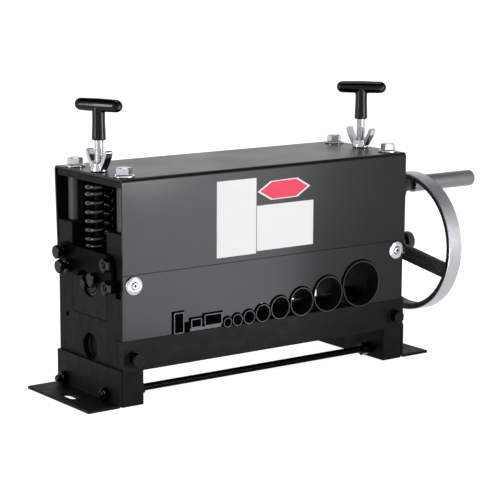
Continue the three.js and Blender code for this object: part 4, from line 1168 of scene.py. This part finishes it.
rim_corner = [(57.4, 1.3), (58.4, 0.4), (62, 0.4), (62.5, 0.9)]
rim_profile = [(radius, rim_start + along) for radius, along in rim_corner]
rim_profile += [(radius, rim_end - along) for radius, along in reversed(rim_corner)]
castings = [
    turned("rim", rim_profile + rim_profile[:1], "x", wheel_axis, 160),
    turned("hub", drum(0, 13, hub_start, hub_end, 0.4, 0.6), "x", wheel_axis),
]
spoke_outline = [
    (hub_middle - 3.2, shaft_height + 7),
    (hub_middle + 3.2, shaft_height + 7),
    (rim_middle + 3, shaft_height + 59),
    (rim_middle - 3, shaft_height + 59),
]
for spoke_angle in (crank_angle, crank_angle + 120, crank_angle + 240):
    spoke = slab("spoke", spoke_outline, middle_y - 6.8, middle_y + 6.8, "y")
    castings.append(on_wheel(spoke, spoke_angle))
crank_axis = (0, middle_y, shaft_height + crank_radius)
boss = turned("boss", drum(0, 6.6, rim_start - 3.5, boss_face, 0.4, 0.4), "x", crank_axis)
castings.append(on_wheel(boss, crank_angle))
wheel = melted("wheel_casting", castings, 0.75, 4)
drilled(wheel, rod("shaft_bore", 6.3, hub_start - 3, hub_end + 3, "x", wheel_axis, 64))
hand_over(wheel, sand_cast, "blade_shaft", "cast_iron", "handwheel")

band_profile = drum(61.8, wheel_radius, rim_start + 0.1, rim_end - 0.1, 0.48, 0.5)
rim_band = turned("turned_rim", band_profile, "x", wheel_axis, 192, 20)
hand_over(rim_band, turned_steel, "blade_shaft", "cast_iron")
print("wheel", round(wheel_radius * 2, 1), "mm across")

# %% [markdown]
# The crank's grip is a satin steel tube with a closed, rounded end that turns on a blackened
# spindle. A hexagon on the spindle and a nut behind the boss clamp it to the wheel. The shaft's end
# has a black cap, and the small set screw that holds the hub is simple enough to stay the CAD's own.

# %% Crank, cap and set screw
spindle_low, spindle_high = span("crank_spindle")
spindle = joined(
    "crank_pin",
    rod("pin", 4, spindle_low.x, spindle_high.x, "x", crank_axis),
    hexagonal("collar", 9.4, boss_face + 0.3, boss_face + 5.3, "x", crank_axis),
    hexagonal("nut", 11.5, rim_start - 8.8, rim_start - 3.8, "x", crank_axis),
)
hand_over(on_wheel(spindle, crank_angle), black_oxide, "blade_shaft", "zinc_plate", "crank_spindle")

grip_low, grip_high = span("crank_grip")
grip_radius, grip_bore, end_round = 7.4, 4.3, 2.6
grip_profile = [(grip_bore, grip_low.x + 0.4), (4.8, grip_low.x), (6.9, grip_low.x)]
grip_profile.append((grip_radius, grip_low.x + 0.5))
for k in range(9):
    angle = math.pi / 2 * k / 8
    across, along = end_round * math.cos(angle), end_round * math.sin(angle)
    grip_profile.append((grip_radius - end_round + across, grip_high.x - end_round + along))
grip_profile += [(0, grip_high.x), (0, spindle_high.x + air), (grip_bore, spindle_high.x + air)]
grip_profile.append(grip_profile[0])
grip = on_wheel(turned("satin_grip", grip_profile, "x", crank_axis), crank_angle)
hand_over(grip, satin_steel, "crank_grip", "machined_steel", "crank_grip")

cap_low, cap_high = span("shaft_end_cap")
cap_profile = [(6.3, cap_low.x + 0.4), (6.7, cap_low.x), (8.2, cap_low.x), (8.6, cap_low.x + 0.4)]
cap_profile += [(8.6, cap_high.x - 1.4), (8.2, cap_high.x - 0.5), (7.3, cap_high.x), (0, cap_high.x)]
cap_profile += [(0, shaft_high.x + air), (6.3, shaft_high.x + air), cap_profile[0]]
cap = turned("end_cap", cap_profile, "x", wheel_axis)
hand_over(cap, sand_cast, "blade_shaft", "cast_iron", "shaft_end_cap")

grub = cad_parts["wheel_grub_screw"]
grub.data.materials.clear()
grub.data.materials.append(black_oxide)
print("grip", round(grip_high.x - grip_low.x, 1), "mm long")

# %% [markdown]
# ## Blank stickers
# Two white stickers and a red one with a white edge sit on the cover. A sticker is a sheet of vinyl
# a tenth of a millimetre thick, so each is a thin slab just proud of the front, with a small bevel
# for its edge. They are left without words or signs.

# %% Stickers
def sticker(name, outline, material, proud=0.12):
    piece = softened(slab(name, outline, -proud, -0.02, "y"), 0.04)
    hand_over(piece, material, "frame", "black_paint")


sticker("left_sticker", box_outline(90.3, 130.1, 112, 175, 0.4), white_vinyl)
sticker("right_sticker", box_outline(130.7, 189.7, 113.8, 151.7, 0.4), white_vinyl)
hexagon_corners = [(131.2, 163.2), (145.2, 155.4), (172.7, 155.8)]
hexagon_corners += [(186.2, 164), (172.6, 171.9), (144.6, 171.2)]
sticker("red_sticker_edge", hexagon_corners, white_vinyl)
middle, red_share = Vector((158.7, 163.6)), 0.9
inner_corners = [tuple(middle + (Vector(corner) - middle) * red_share) for corner in hexagon_corners]
sticker("red_sticker", inner_corners, red_vinyl, 0.16)
print("stickers on")

# %% [markdown]
# ## Floor, lamps and camera
# A product shot of black metal lives on what it reflects. The floor and the backdrop are white for
# the camera and for reflections, while the light that falls on the machine stays plain. The floor is
# a matt grey under its own glow, so the machine can still shade it.

# %% Floor and backdrop
def seen_directly(tree):
    """One for rays from the camera, from a mirror or through glass, and nought for all others."""
    rays = add(tree, "ShaderNodeLightPath", {})
    seen = rays.outputs["Is Camera Ray"]
    for kind in ("Is Glossy Ray", "Is Transmission Ray"):
        larger = add(tree, "ShaderNodeMath", {0: seen, 1: rays.outputs[kind]}, operation="MAXIMUM")
        seen = larger.outputs["Value"]
    return seen


def on_stage(plane, name, material):
    plane.name = name
    plane.data.materials.append(material)
    return plane


floor_paint = bpy.data.materials.new("studio_floor")
floor_paint.use_nodes = True
tree = floor_paint.node_tree
tree.nodes.remove(tree.nodes["Principled BSDF"])
glow_strength = add(tree, "ShaderNodeMath", {0: seen_directly(tree), 1: 0.9}, operation="MULTIPLY")
white_glow = {"Color": linear("#ffffff"), "Strength": glow_strength.outputs["Value"]}
glow = add(tree, "ShaderNodeEmission", white_glow)
matt = add(tree, "ShaderNodeBsdfDiffuse", {"Color": linear("#b4b4b4")})
both = add(tree, "ShaderNodeAddShader", {0: matt.outputs["BSDF"], 1: glow.outputs["Emission"]})
tree.links.new(both.outputs["Shader"], tree.nodes["Material Output"].inputs["Surface"])
bpy.ops.mesh.primitive_plane_add(size=60, location=(0, 0, 0))
on_stage(bpy.context.object, "studio_floor", floor_paint)

world = bpy.data.worlds.new("white_backdrop")
bpy.context.scene.world = world
world.use_nodes = True
tree = world.node_tree
level = add(tree, "ShaderNodeMapRange", {"Value": seen_directly(tree), "To Min": 0.95, "To Max": 1.0})
tree.links.new(level.outputs["Result"], tree.nodes["Background"].inputs["Strength"])
tree.nodes["Background"].inputs["Color"].default_value = linear("#ffffff")
bpy.context.scene.view_settings.view_transform = "Standard"
print("white floor and backdrop")

# %% [markdown]
# Four soft boxes light the machine. A slanted card in front shines in the paint of the cover and
# makes its left half paler than its right. A narrow strip at each side puts bright lines on edges,
# springs and the turned rim, and a box above lights the top. A black flag over everything keeps
# the white backdrop out of the top faces, so that they stay black.

# %% Soft boxes and flag
def soft_box(name, place, target, width, height, radiance):
    """An area lamp that faces a target. Its power is worked out from the radiance wanted."""
    lamp = bpy.data.lights.new(name, "AREA")
    lamp.shape, lamp.size, lamp.size_y = "RECTANGLE", width, height
    lamp.energy = radiance * math.pi * width * height
    holder = shown(name, lamp)
    holder.location = place
    holder.rotation_mode = "QUATERNION"
    holder.rotation_quaternion = (Vector(target) - Vector(place)).to_track_quat("-Z", "Y")
    holder.visible_camera = False
    return holder


# The card is there to shine in the paint. It gives no soft light, so the stickers stay plain white.
front_card = soft_box("front_card", (0.191, -0.592, 0.16), (0.001, -0.359, 1.114), 0.35, 1.0, 6.2)
front_card.visible_diffuse = False
front_card.data.color = (0.94, 0.95, 1)
soft_box("right_strip", (0.48, -1.1, 0.3), (-0.1, 0, 0.15), 0.12, 0.5, 26)
soft_box("left_strip", (-1.2, 0.13, 0.3), (-0.1, 0, 0.2), 0.14, 0.55, 20)
soft_box("top_box", (0.1, 0.15, 1.3), (0, 0, 0.1), 0.8, 0.6, 3.5)

flag_cloth, *_ = begin("black_flag_cloth", Base_Color=linear("#0a0a0a"), Roughness=1, Specular_IOR_Level=0)
bpy.ops.mesh.primitive_plane_add(size=3.4, location=(0, 0, 1.7))
on_stage(bpy.context.object, "black_flag", flag_cloth).visible_camera = False
print("four soft boxes and a black flag above")

# %% [markdown]
# The camera's place and direction were worked out from the photograph: the machine's own edges give
# the two vanishing directions, and the bolt heads of known size give the distance. It stands to the
# front left, looks down by ten degrees and uses a long lens.

# %% Camera
yaw, pitch, roll = (math.radians(angle) for angle in (36.29, 10.54, 0.29))
photo_focal_length, photo_width, sensor_width = 1833, 500, 36
forward = Vector((math.sin(yaw) * math.cos(pitch), math.cos(yaw) * math.cos(pitch), -math.sin(pitch)))
level_right = Vector((math.cos(yaw), -math.sin(yaw), 0))
level_up = level_right.cross(forward)
right = level_right * math.cos(roll) + level_up * math.sin(roll)
up = level_up * math.cos(roll) - level_right * math.sin(roll)
lens = bpy.data.cameras.new("portrait_lens")
lens.sensor_width, lens.sensor_height = sensor_width, sensor_width
lens.lens = sensor_width * photo_focal_length / photo_width
lens.clip_start, lens.clip_end = 0.05, 100
camera = shown("portrait_camera", lens)
facing = Matrix((right, up, -forward)).transposed().to_4x4()
camera.matrix_world = Matrix.Translation((-0.9512, -1.2473, 0.3918)) @ facing
bpy.context.scene.camera = camera
print("lens", round(lens.lens), "mm")
